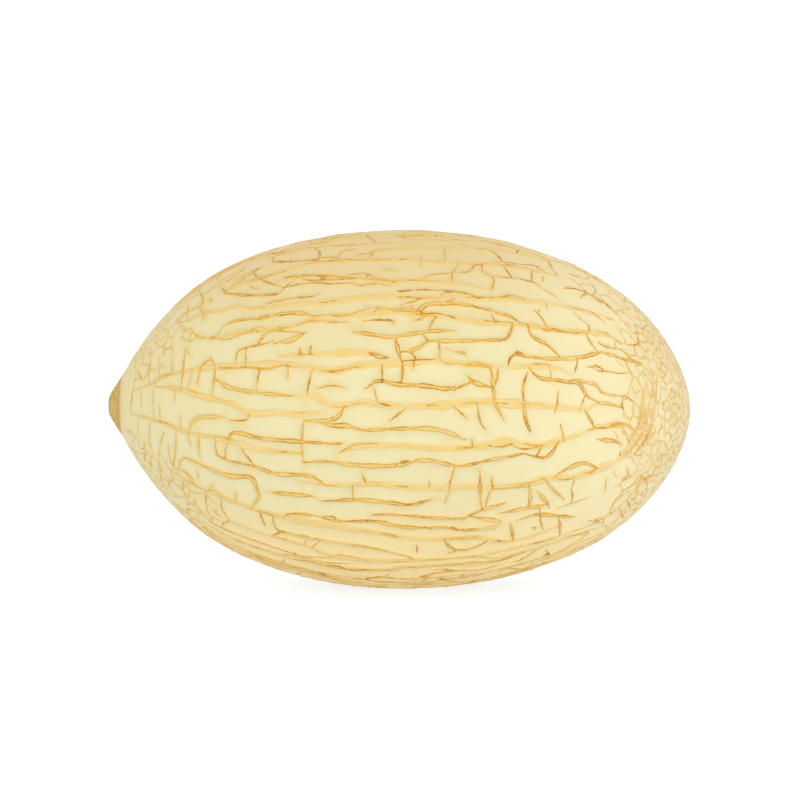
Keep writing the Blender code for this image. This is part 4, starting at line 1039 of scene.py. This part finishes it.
def scar_lift(gap, radius, rim, height, pit_radius, pit_depth):
    """A round scar's lift at a distance from its middle: a pit, a low dish and a raised rim."""
    outer = height * np.clip((radius - gap) / (radius - rim), 0, 1)
    dish = height * (DISH_SHARE + (1 - DISH_SHARE) * np.clip(gap / rim, 0, 1))
    pit = pit_depth * np.clip(1 - gap / pit_radius, 0, 1)
    return np.where(gap > rim, outer, dish) - pit


def add_values(mesh, name, values):
    """Stores one number for each corner point of a mesh."""
    mesh.attributes.new(name, "FLOAT", "POINT").data.foreach_set("value", np.asarray(values, np.float32))


def line_object(name, skin, lines):
    """The lines of one kind as bare edges, with their half width, height and strength at each point."""
    places, edges = [], []
    for line in lines:
        first = len(places)
        places.extend(skin.places(line.points[:, 0], line.points[:, 1]).tolist())
        edges.extend((row, row + 1) for row in range(first, len(places) - 1))
    mesh = bpy.data.meshes.new(name)
    mesh.from_pydata(places, edges, [])
    for value in ("half_width", "height", "strength"):
        add_values(mesh, value, np.concatenate([getattr(line, value) for line in lines]))
    guide = bpy.data.objects.new(name, mesh)
    bpy.context.scene.collection.objects.link(guide)
    return guide


def bare_skin(skin, net):
    """The closed skin with its two scars and without its net, as an object."""
    stem_middle = math.exp(skin.latitude_of_end(STEM_SCAR_TURN, blossom=False))
    ground = Ground(skin)
    ground.add_scars(stem_middle)
    ground.add_net(net)
    ground.add_filling()
    chart = [on_map(*spot) for spot in ground.spots]
    corners, _, faces, _, _, _ = delaunay_2d_cdt(chart, ground.crests, [], 0, CHART_MERGE)
    spots = np.array([spot_of(complex(corner.x, corner.y)) for corner in corners])
    flat = skin.places(spots[:, 0], spots[:, 1])
    stem_gap = np.linalg.norm(flat - skin.places(*spot_of(complex(stem_middle))), axis=1)
    blossom_gap = np.linalg.norm(flat - skin.places(skin.latitude[-1], 0.0), axis=1)
    lift = scar_lift(stem_gap, *STEM_SCAR_SHAPE) + scar_lift(blossom_gap, *BLOSSOM_SCAR_SHAPE)
    places = skin.places(spots[:, 0], spots[:, 1], lift)
    pole = skin.places(skin.latitude[-1], 0.0, float(scar_lift(np.zeros(1), *BLOSSOM_SCAR_SHAPE)[0]))
    faces = [tuple(face) for face in faces]
    faces += pole_fan(faces, len(places))
    places = np.vstack([places, pole])
    triangles = places[np.array(faces)] - places.mean(axis=0)
    if np.linalg.det(triangles).sum() < 0:
        faces = [face[::-1] for face in faces]
    mesh = bpy.data.meshes.new("melon_rind")
    mesh.from_pydata(places.tolist(), [], faces)
    add_values(mesh, "stem_gap", np.append(stem_gap, FAR_AWAY) * MM_PER_METRE)
    add_values(mesh, "blossom_gap", np.append(blossom_gap, 0.0) * MM_PER_METRE)
    without_slivers(mesh)
    mesh.shade_smooth()
    rind = bpy.data.objects.new("melon_rind", mesh)
    bpy.context.scene.collection.objects.link(rind)
    return rind


def without_slivers(mesh):
    """Merges the thin faces where lines cross or run close together into their neighbours."""
    work = bmesh.new()
    work.from_mesh(mesh)
    for _ in range(THIN_FACE_ROUNDS):
        bmesh.ops.dissolve_degenerate(work, dist=THINNEST_FACE, edges=work.edges)
        bmesh.ops.triangulate(work, faces=work.faces)
    work.to_mesh(mesh)
    work.free()


def pole_fan(faces, pole):
    """Triangles from the pole to every open edge of the map."""
    used = {pair for face in faces for pair in zip(face, face[1:] + face[:1])}
    return [(end, start, pole) for start, end in used if (end, start) not in used]


def node(tree, kind, inputs=None, **settings):
    """Adds a node, sets it up, and fills its inputs with values or with other nodes' outputs."""
    made = tree.nodes.new(kind)
    for name, value in settings.items():
        setattr(made, name, value)
    for key, value in (inputs or {}).items():
        if isinstance(value, bpy.types.NodeSocket):
            tree.links.new(value, made.inputs[key])
        else:
            made.inputs[key].default_value = value
    return made


def maths(tree, operation, *values):
    """A sum on values or on other nodes' outputs."""
    return node(tree, "ShaderNodeMath", dict(enumerate(values)), operation=operation).outputs[0]


def times(tree, product, *others):
    """The product of two or more values."""
    for other in others:
        product = maths(tree, "MULTIPLY", product, other)
    return product


def ramp(tree, value, low, high, to_low=0.0, to_high=1.0):
    """A smooth step from one value to another."""
    inputs = {"Value": value, "From Min": low, "From Max": high, "To Min": to_low, "To Max": to_high}
    return node(tree, "ShaderNodeMapRange", inputs, interpolation_type="SMOOTHSTEP").outputs["Result"]


def cloud(tree, position, size, detail=2.0, seed=0.0):
    """Cloudy variation from 0 to 1 whose patches are about this size across."""
    scale = maths(tree, "DIVIDE", 1.0, size) if isinstance(size, bpy.types.NodeSocket) else 1 / size
    inputs = {"Vector": position, "W": seed, "Scale": scale, "Detail": detail}
    return node(tree, "ShaderNodeTexNoise", inputs, noise_dimensions="4D").outputs["Fac"]


def patches(tree, position, size, steps, seed, detail=2.0):
    """Cloudy variation put through a smooth step."""
    return ramp(tree, cloud(tree, position, size, detail=detail, seed=seed), *steps)


def swing(tree, position, size, seed):
    """Cloudy variation to either side of 0."""
    return maths(tree, "SUBTRACT", cloud(tree, position, size, seed=seed), 0.5)


def nearest_line(tree, lines):
    """Each point's distance from the nearest line, and that line's half width, height and strength."""
    nearest = node(tree, "GeometryNodeProximity", {0: lines}, target_element="EDGES")
    inputs = {"Geometry": lines, "Sample Position": nearest.outputs["Position"]}
    index = node(tree, "GeometryNodeSampleNearest", inputs).outputs["Index"]
    values = []
    for name in ("half_width", "height", "strength"):
        value = node(tree, "GeometryNodeInputNamedAttribute", {"Name": name}, data_type="FLOAT")
        sample = {"Geometry": lines, "Value": value.outputs["Attribute"], "Index": index}
        values.append(node(tree, "GeometryNodeSampleIndex", sample, data_type="FLOAT").outputs["Value"])
    return [nearest.outputs["Distance"]] + values


def cross_section(tree, gap, half_width, points):
    """The share of its height that a line has at a distance from its middle."""
    share = maths(tree, "DIVIDE", gap, maths(tree, "MULTIPLY", half_width, RIBBON_SHARES[-1]))
    curve = node(tree, "ShaderNodeFloatCurve", {"Value": share})
    shape = curve.mapping.curves[0]
    while len(shape.points) < len(points):
        shape.points.new(0.5, 0.5)
    for point, (across, height) in zip(shape.points, points):
        point.location = (across, height)
    curve.mapping.update()
    return curve.outputs["Value"]


def with_values(tree, geometry, name, value):
    """The geometry with a number stored at each of its points."""
    inputs = {"Geometry": geometry, "Name": name, "Value": value}
    return node(tree, "GeometryNodeStoreNamedAttribute", inputs, data_type="FLOAT", domain="POINT").outputs[0]


def net_tree():
    """Geometry Nodes that raise the net, with low waves and a cork's roughness, from the bare skin."""
    tree = bpy.data.node_groups.new("raised net", "GeometryNodeTree")
    tree.interface.new_socket("Geometry", in_out="OUTPUT", socket_type="NodeSocketGeometry")
    for name, kind in NET_INPUTS:
        tree.interface.new_socket(name, in_out="INPUT", socket_type=kind)
    given = node(tree, "NodeGroupInput").outputs
    position = node(tree, "GeometryNodeInputPosition").outputs[0]
    geometry = given["Geometry"]

    lifts, gaps = [], []
    for kind, section in (("Band", BAND_SECTION), ("Cord", CORD_SECTION)):
        guide = {"Object": given[kind + " Lines"]}
        guide = node(tree, "GeometryNodeObjectInfo", guide, transform_space="RELATIVE").outputs["Geometry"]
        gap, half_width, height, strength = nearest_line(tree, guide)
        lifts.append(times(tree, height, cross_section(tree, gap, half_width, section)))
        gaps.append(times(tree, gap, MM_PER_METRE))
        edge = times(tree, maths(tree, "SUBTRACT", half_width, gap), MM_PER_METRE)
        geometry = with_values(tree, geometry, kind.lower() + "_edge", edge)
        geometry = with_values(tree, geometry, kind.lower() + "_strength", strength)
    geometry = with_values(tree, geometry, "net_gap", maths(tree, "MINIMUM", *gaps))

    net = maths(tree, "MAXIMUM", *lifts)
    cork = swing(tree, position, CORK_GRAIN, given["Seed"])
    cork = maths(tree, "MULTIPLY_ADD", cork, given["Cork Roughness"], 1.0)
    wave = swing(tree, position, given["Wave Length"], given["Seed"])
    lift = maths(tree, "MULTIPLY_ADD", net, cork, times(tree, wave, given["Waviness"]))
    normal = node(tree, "GeometryNodeInputNormal").outputs[0]
    offset = node(tree, "ShaderNodeVectorMath", {0: normal, "Scale": lift}, operation="SCALE").outputs[0]
    geometry = node(tree, "GeometryNodeSetPosition", {"Geometry": geometry, "Offset": offset}).outputs[0]

    raised = node(tree, "GeometryNodeInputPosition").outputs[0]
    apart = node(tree, "ShaderNodeSeparateXYZ", {0: raised}).outputs
    resting = maths(tree, "MAXIMUM", apart["Z"], given["Resting Height"])
    rested = node(tree, "ShaderNodeCombineXYZ", {"X": apart["X"], "Y": apart["Y"], "Z": resting}).outputs[0]
    geometry = node(tree, "GeometryNodeSetPosition", {"Geometry": geometry, "Position": rested}).outputs[0]
    geometry = node(tree, "GeometryNodeRealizeInstances", {"Geometry": geometry}).outputs[0]
    finish = {"Geometry": geometry, "Material": given["Material"]}
    geometry = node(tree, "GeometryNodeSetMaterial", finish).outputs[0]
    node(tree, "NodeGroupOutput", {"Geometry": geometry})
    return tree


def shade(red, green, blue):
    """A linear colour from display values of 0 to 255, by the standard display curve."""
    def linear(value):
        value /= 255
        return value / 12.92 if value <= 0.04045 else ((value + 0.055) / 1.055) ** 2.4

    return tuple(linear(value) for value in (red, green, blue))


def opaque(colour):
    """A colour as a node's input takes it, unless it is another node's output already."""
    return colour if isinstance(colour, bpy.types.NodeSocket) else (*colour, 1.0)


def blend(tree, share, under, over):
    """One colour laid over another by a share from 0 to 1."""
    inputs = dict(zip(MIX_INPUTS, (share, opaque(under), opaque(over))))
    return node(tree, "ShaderNodeMix", inputs, data_type="RGBA").outputs[MIX_OUTPUT]


def stored(tree, name):
    """A number that the mesh holds at each point."""
    return node(tree, "ShaderNodeAttribute", attribute_name=name).outputs["Fac"]


def stretched(tree, position, scale):
    """The position with its sides scaled, so that a pattern read there is drawn out along the melon."""
    return node(tree, "ShaderNodeMapping", {"Vector": position, "Scale": scale}).outputs[0]


def net_shares(tree, position, along, crumbly):
    """How much of each of the net's colours shows at each point."""
    streaky = stretched(tree, position, STREAK_STRETCH)
    band_edge = maths(tree, "MULTIPLY_ADD", crumbly, BAND_CRUMBS, stored(tree, "band_edge"))
    fibrous = stretched(tree, position, FIBRE_STRETCH)
    band = times(
        tree,
        ramp(tree, band_edge, *BAND_EDGE),
        patches(tree, streaky, FADE_SIZE, BAND_FADE, seed=3),
        stored(tree, "band_strength"),
        patches(tree, fibrous, FIBRE_SIZE, FIBRE_FADE, seed=10, detail=3.0),
    )
    drawn = patches(tree, streaky, FADE_SIZE, BORDER_PATCHES, seed=9)
    border = times(
        tree,
        ramp(tree, band_edge, *BORDER_OUTER_EDGE),
        ramp(tree, band_edge, *BORDER_INNER_EDGE),
        maths(tree, "MAXIMUM", drawn, ramp(tree, along, *BORDER_PLACES)),
    )
    ragged = swing(tree, position, RAGGED_SIZE, seed=1)
    cord_edge = maths(tree, "MULTIPLY_ADD", ragged, CORD_RAGS, stored(tree, "cord_edge"))
    cord = ramp(tree, cord_edge, *CORD_EDGE)
    strength = times(
        tree,
        stored(tree, "cord_strength"),
        patches(tree, streaky, FADE_SIZE, CORD_FADE, seed=4),
        patches(tree, position, CRUMB_SIZE, CRUMB_FADE, seed=12),
        ramp(tree, along, *STEM_FADE_PLACES),
        ramp(tree, along, *CAP_FADE_PLACES),
    )
    fill = times(tree, cord, ramp(tree, strength, *FILL_BY_STRENGTH))
    rim = times(tree, cord, ramp(tree, cord_edge, *RIM_EDGE), strength)
    dark = times(
        tree,
        rim,
        patches(tree, position, DARK_SIZE, DARK_PATCHES, seed=6),
        ramp(tree, along, *DARK_PLACES),
    )
    return NetShares(band, border, cord, fill, rim, dark)


def skin_colour(tree, colours, position, apart, crumbly):
    """The bare skin's colour: deeper along the net, mottled, and tinted by the place on the melon, partly as
    painted shade and light.
    """
    away = maths(tree, "MULTIPLY_ADD", crumbly, HALO_CRUMBS, stored(tree, "net_gap"))
    colour = blend(tree, ramp(tree, away, *HALO_REACH), colours.halo, colours.skin)
    streaky = stretched(tree, position, STREAK_STRETCH)
    mottle = patches(tree, streaky, MOTTLE_SIZE, MOTTLE_PATCHES, seed=5, detail=4.0)
    colour = blend(tree, times(tree, mottle, MOTTLE_SHARE), colour, colours.mottle)
    level = maths(tree, "ABSOLUTE", maths(tree, "SUBTRACT", apart["Z"], MIDDLE_HEIGHT))
    for place, steps, tint in (
        # Painted shade: yellower, deeper skin towards the top and the bottom limbs
        (level, LIMB_SHADE_LEVELS, colours.limb_shade),
        (apart["X"], BLOSSOM_SKIN_PLACES, colours.blossom_skin),
        (apart["X"], STEM_SKIN_PLACES, colours.stem_skin),
        # Partly the pale spot where the melon lay, partly painted light on the shaded underside
        (apart["Z"], GROUND_SPOT_AND_LIGHT_LEVELS, colours.ground_spot_and_painted_light),
    ):
        colour = blend(tree, ramp(tree, place, *steps), colour, tint)
    blush = patches(tree, position, BLUSH_SIZE, BLUSH_PATCHES, seed=11, detail=3.0)
    return blend(tree, times(tree, blush, ramp(tree, apart["X"], *BLUSH_PLACES)), colour, colours.cap_band)


def with_net(tree, colours, colour, net, along):
    """The skin's colour with the net's colours laid over it."""
    band_colour = blend(tree, ramp(tree, along, *CAP_BAND_PLACES), colours.band, colours.cap_band)
    colour = blend(tree, times(tree, net.band, BAND_COVER), colour, band_colour)
    colour = blend(tree, net.border, colour, colours.rim)
    colour = blend(tree, net.fill, colour, colours.cord)
    colour = blend(tree, net.rim, colour, colours.rim)
    return blend(tree, net.dark, colour, colours.dark_rim)


def with_scars(tree, colours, colour, position, crumbly):
    """A colour with the two scars laid over it, with painted shade in the stem scar's dish and a painted
    shadow round that scar, and how much of a scar there is at each point.
    """
    stem_gap = maths(tree, "MULTIPLY_ADD", crumbly, STEM_SCAR_CRUMBS, stored(tree, "stem_gap"))
    blossom_gap = maths(tree, "MULTIPLY_ADD", crumbly, BLOSSOM_SCAR_CRUMBS, stored(tree, "blossom_gap"))
    stem_scar = ramp(tree, stem_gap, *STEM_SCAR_EDGE)
    scar = maths(tree, "MAXIMUM", stem_scar, ramp(tree, blossom_gap, *BLOSSOM_SCAR_EDGE))
    grains = patches(tree, position, SCAR_GRAIN, SCAR_GRAINS, seed=7, detail=4.0)
    cork = blend(tree, grains, colours.scar, colours.dark_scar_and_dish_shade)
    cork = blend(tree, ramp(tree, stem_gap, *SCAR_BORDER), cork, colours.scar_border)
    # Painted shade: the dark grain colour darkens the stem scar's dish and pit
    cork = blend(tree, ramp(tree, stem_gap, *SCAR_DISH_SHADE), cork, colours.dark_scar_and_dish_shade)
    # Painted shadow: the scar's brown fades out onto the skin round the stem scar
    colour = blend(tree, ramp(tree, stem_gap, *SCAR_SHADOW_FADE), colour, colours.scar)
    return blend(tree, scar, colour, cork), scar


def rind_material(colours):
    """The melon's waxy skin with its cork net and its two scars."""
    material = bpy.data.materials.new("melon rind")
    material.use_nodes = True
    tree = material.node_tree
    shader = tree.nodes["Principled BSDF"]
    position = node(tree, "ShaderNodeTexCoord").outputs["Object"]
    apart = node(tree, "ShaderNodeSeparateXYZ", {0: position}).outputs
    crumbly = swing(tree, position, CRUMB_SIZE, seed=2)

    net = net_shares(tree, position, apart["X"], crumbly)
    colour = skin_colour(tree, colours, position, apart, crumbly)
    colour = with_net(tree, colours, colour, net, apart["X"])
    colour, scar = with_scars(tree, colours, colour, position, crumbly)
    tree.links.new(colour, shader.inputs["Base Color"])

    cork = maths(tree, "MAXIMUM", maths(tree, "MAXIMUM", times(tree, net.band, BAND_CORK), net.cord), scar)
    tree.links.new(ramp(tree, cork, 0.0, 1.0, SKIN_ROUGHNESS, CORK_ROUGHNESS), shader.inputs["Roughness"])
    shader.inputs["Specular IOR Level"].default_value = SKIN_GLOSS
    grit = times(
        tree, cloud(tree, position, GRIT_SIZE, detail=3.0, seed=8), ramp(tree, cork, 0.0, 1.0, SKIN_GRIT, 1.0)
    )
    bump = node(tree, "ShaderNodeBump", {"Height": grit, "Strength": GRIT_STRENGTH, "Distance": GRIT_DEPTH})
    tree.links.new(bump.outputs[0], shader.inputs["Normal"])
    return material


def length_property(name, description, default, low, high):
    """A length for the sidebar, shown to the hundredth of a millimetre."""
    return FloatProperty(
        name=name, description=description, default=default, min=low, max=high, subtype="DISTANCE",
        unit="LENGTH", precision=5
    )


class MelonRind(bpy.types.PropertyGroup):
    """The sizes of the raised net and of the skin's relief."""

    band_half_width: length_property(
        "Band Half Width", "Half the width of the soft broad bands", 0.00135, low=0.0005, high=0.003)
    band_height: length_property(
        "Band Height", "How far the soft bands stand out of the skin", 0.00035, low=0.0, high=0.002)
    cord_half_width: length_property(
        "Cord Half Width", "Half the width of the crisp cords", 0.00070, low=0.0002, high=0.002)
    cord_height: length_property(
        "Cord Height", "How far the crisp cords stand out of the skin", 0.00055, low=0.0, high=0.002)
    crack_half_width: length_property(
        "Crack Half Width", "Half the width of the solid rungs, cracks and ticks", 0.00034, low=0.0001,
        high=0.002)
    strip_half_width: length_property(
        "Strip Half Width", "Half the width of the bands over the top and underneath", 0.00080, low=0.0002,
        high=0.003)
    cell_half_width: length_property(
        "Cell Half Width", "Half the width of the fine cells' borders at the two ends", 0.00028, low=0.0001,
        high=0.002)
    soft_half_width: length_property(
        "Soft Half Width", "Half the width of the soft borders among the fine cells", 0.00070, low=0.0001,
        high=0.002)
    waviness: length_property("Waviness", "Depth of the skin's low waves", 0.0005, low=0.0, high=0.004)
    wave_length: length_property(
        "Wave Length", "How far apart the skin's low waves are", 0.030, low=0.005, high=0.2)
    cork_roughness: FloatProperty(
        name="Cork Roughness", description="How unevenly the cork of the net is raised",
        default=0.9, min=0.0, max=2.0, subtype="FACTOR")
    seed: IntProperty(
        name="Seed", description="Picks the pattern of the waves and of the cork", default=3, min=0)


def colour_property(name, description, display):
    """A colour for the sidebar, from display values of 0 to 255."""
    return FloatVectorProperty(
        name=name, description=description, subtype="COLOR", size=3, min=0.0, max=1.0, default=shade(*display)
    )


class MelonColours(bpy.types.PropertyGroup):
    """The colours of the skin, the net and the scars, some of them also painted shade, shadow and light."""

    skin: colour_property("Skin", "Pale skin in the middle of the net's cells", (205, 194, 147))
    halo: colour_property("Halo", "Deeper yellow skin along the net", (203, 187, 132))
    mottle: colour_property("Mottle", "Warmer clouds over the skin", (203, 184, 132))
    # Painted shade of the top and bottom limbs, not a colour of the skin itself
    limb_shade: colour_property("Warm Skin", "Yellower skin over the top and underneath", (206, 179, 122))
    blossom_skin: colour_property("Blossom Skin", "Paler skin towards the blossom", (219, 205, 159))
    stem_skin: colour_property("Stem Skin", "Greener skin towards the stem", (211, 196, 143))
    # Partly the pale spot where the melon lay, partly painted light on the shaded underside
    ground_spot_and_painted_light: colour_property("Ground Skin", "Paler skin underneath, where the melon lay", (227, 202, 140))
    band: colour_property("Band", "Soft bands of the net", (209, 177, 101))
    cap_band: colour_property("Cap Band", "Soft bands round the blossom end", (204, 162, 84))
    cord: colour_property("Cord", "Cork in the middle of the crisp cords", (209, 178, 96))
    rim: colour_property("Cord Rim", "Ochre edges of the crisp cords", (197, 142, 36))
    dark_rim: colour_property("Dark Rim", "Darkest cracks of the net", (163, 98, 20))
    # Also laid round the stem scar as a painted shadow that fades out onto the skin
    scar: colour_property("Scar", "Cork of the two scars", (197, 165, 91))
    scar_border: colour_property("Scar Border", "Cork at the stem scar's border", (176, 142, 72))
    # Also the painted shade in the middle of the stem scar's dish and pit
    dark_scar_and_dish_shade: colour_property("Dark Scar", "Dark grains of the two scars", (132, 94, 34))


class MelonStage(bpy.types.PropertyGroup):
    """The studio round the melon."""

    lens: FloatProperty(
        name="Lens", description="Focal length of the camera", default=LENS, min=20.0, max=300.0,
        unit="CAMERA")
    distance: length_property(
        "Camera Distance", "From the camera to the middle of the melon", CAMERA_DISTANCE, low=0.3, high=5.0)
    elevation: FloatProperty(
        name="Elevation", description="How far the camera looks down", default=CAMERA_ELEVATION,
        subtype="ANGLE", unit="ROTATION")
    room_light: FloatProperty(
        name="Room Light", description="Strength of the even white light from all round", default=1.08,
        min=0.0)
    key_power: FloatProperty(
        name="Key Light", description="Power of the large soft light in front", default=16.0, min=0.0,
        unit="POWER")
    floor_colour: colour_property("Floor", "The pale floor", (172, 177, 187))
    glow_colour: colour_property(
        "Floor Glow Colour", "Colour of the light that comes up through the floor", (243, 247, 255))
    floor_glow: FloatProperty(
        name="Floor Glow", description="Light that comes up through the white floor", default=0.72, min=0.0)


class MELON_OT_make_rind(bpy.types.Operator):
    """Make the whole melon: the skin, its raised net and its scars, as one closed mesh"""

    bl_idname = "melon.make_rind"
    bl_label = "Make Rind"

    def execute(self, context):
        sizes = context.scene.melon_rind
        skin = Skin()
        net = Net(skin, sizes)
        rind = bare_skin(skin, net)
        band_lines = line_object("band_lines", skin, net.bands)
        cord_lines = line_object("cord_lines", skin, net.cords)
        material = rind_material(context.scene.melon_colours)
        raise_net(rind, {
            "Band Lines": band_lines, "Cord Lines": cord_lines, "Waviness": sizes.waviness,
            "Wave Length": sizes.wave_length, "Cork Roughness": sizes.cork_roughness,
            "Resting Height": 0.0, "Seed": float(sizes.seed), "Material": material,
        })
        for guide in (band_lines, cord_lines):
            data = guide.data
            bpy.data.objects.remove(guide)
            bpy.data.meshes.remove(data)
        centre(rind.data)
        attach(rind, "root")
        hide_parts("melon")
        return {"FINISHED"}


def raise_net(rind, values):
    """Runs the net's Geometry Nodes on the bare skin and keeps their result as the object's own mesh."""
    modifier = rind.modifiers.new("raised net", "NODES")
    modifier.node_group = net_tree()
    for item in modifier.node_group.interface.items_tree:
        if item.name in values:
            modifier[item.identifier] = values[item.name]
    graph = bpy.context.evaluated_depsgraph_get()
    bare = rind.data
    raised = bpy.data.meshes.new_from_object(rind.evaluated_get(graph))
    rind.modifiers.remove(modifier)
    rind.data = raised
    bpy.data.meshes.remove(bare)
    raised.name = rind.name


def centre(mesh):
    """Moves a mesh along X and Y so that the middle of its box is over the origin, as the solid's is."""
    places = np.empty(len(mesh.vertices) * 3, np.float32)
    mesh.vertices.foreach_get("co", places)
    places = places.reshape(-1, 3)
    middle = (places.min(axis=0) + places.max(axis=0)) / 2
    mesh.transform(Matrix.Translation((-middle[0], -middle[1], 0.0)))


class MELON_OT_set_stage(bpy.types.Operator):
    """Set the camera, the pale floor, the soft lights and the white room"""

    bl_idname = "melon.set_stage"
    bl_label = "Set Stage"

    def execute(self, context):
        stage = context.scene.melon_stage
        add_camera(context, stage)
        add_floor(context, stage)
        add_room(context, stage)
        for name, place, width, share, glossy in LIGHTS:
            add_softbox(context, name, place, width, share * stage.key_power, glossy)
        context.scene.view_settings.view_transform = "Standard"
        return {"FINISHED"}


def aimed(place, target):
    """The turn that points an object's -Z at a target, with its +Y up."""
    return (Vector(target) - Vector(place)).to_track_quat("-Z", "Y").to_euler()


def add_camera(context, stage):
    """The camera that sees the melon as the photo does."""
    data = bpy.data.cameras.new("camera")
    data.lens = stage.lens
    data.sensor_width = SENSOR_WIDTH
    middle = Vector((0.0, 0.0, MIDDLE_HEIGHT))
    back = Vector((0.0, -math.cos(stage.elevation), math.sin(stage.elevation)))
    camera = bpy.data.objects.new("camera", data)
    camera.location = middle + stage.distance * back
    camera.rotation_euler = aimed(camera.location, middle + Vector(AIM_OFFSET))
    context.scene.collection.objects.link(camera)
    context.scene.camera = camera


def add_floor(context, stage):
    """The plain pale floor, a little lit from below."""
    mesh = bpy.data.meshes.new("floor")
    half = FLOOR_HALF_WIDTH
    corners = [(-half, -half, 0), (half, -half, 0), (half, half, 0), (-half, half, 0)]
    mesh.from_pydata(corners, [], [(0, 1, 2, 3)])
    material = bpy.data.materials.new("floor")
    material.use_nodes = True
    shader = material.node_tree.nodes["Principled BSDF"]
    shader.inputs["Base Color"].default_value = (*stage.floor_colour, 1.0)
    shader.inputs["Roughness"].default_value = FLOOR_ROUGHNESS
    shader.inputs["Specular IOR Level"].default_value = 0.0
    shader.inputs["Emission Color"].default_value = (*stage.glow_colour, 1.0)
    shader.inputs["Emission Strength"].default_value = stage.floor_glow
    mesh.materials.append(material)
    floor = bpy.data.objects.new("floor", mesh)
    context.scene.collection.objects.link(floor)


def add_room(context, stage):
    """Even white light from all round."""
    world = bpy.data.worlds.new("room")
    world.use_nodes = True
    light = world.node_tree.nodes["Background"]
    light.inputs["Color"].default_value = (1.0, 1.0, 1.0, 1.0)
    light.inputs["Strength"].default_value = stage.room_light
    context.scene.world = world


def add_softbox(context, name, place, width, power, glossy):
    """A large square light that faces the melon."""
    data = bpy.data.lights.new(name, "AREA")
    data.shape = "SQUARE"
    data.size = width
    data.energy = power
    light = bpy.data.objects.new(name, data)
    light.location = place
    light.visible_glossy = glossy
    light.rotation_euler = aimed(place, (0.0, 0.0, MIDDLE_HEIGHT))
    context.scene.collection.objects.link(light)


class MELON_PT_panel(bpy.types.Panel):
    """The melon's sizes, colours and stage, with the buttons that make them"""

    bl_idname = "MELON_PT_panel"
    bl_label = "Netted Melon"
    bl_space_type = "VIEW_3D"
    bl_region_type = "UI"
    bl_category = "Melon"

    def draw(self, context):
        scene = context.scene
        for settings, operator in (
            (scene.melon_colours, None),
            (scene.melon_rind, MELON_OT_make_rind),
            (scene.melon_stage, MELON_OT_set_stage),
        ):
            box = self.layout.box()
            for name in settings.bl_rna.properties.keys():
                if name not in ("rna_type", "name"):
                    box.prop(settings, name)
            if operator:
                box.operator(operator.bl_idname)


CLASSES = (MelonRind, MelonColours, MelonStage, MELON_OT_make_rind, MELON_OT_set_stage, MELON_PT_panel)
SETTINGS = {"melon_rind": MelonRind, "melon_colours": MelonColours, "melon_stage": MelonStage}


def register():
    for made in CLASSES:
        bpy.utils.register_class(made)
    for name, group in SETTINGS.items():
        setattr(bpy.types.Scene, name, PointerProperty(type=group))


def unregister():
    for name in SETTINGS:
        delattr(bpy.types.Scene, name)
    for made in reversed(CLASSES):
        bpy.utils.unregister_class(made)


def main():
    register()
    bpy.ops.melon.set_stage()
    bpy.ops.melon.make_rind()


if __name__ == "__main__":
    main()
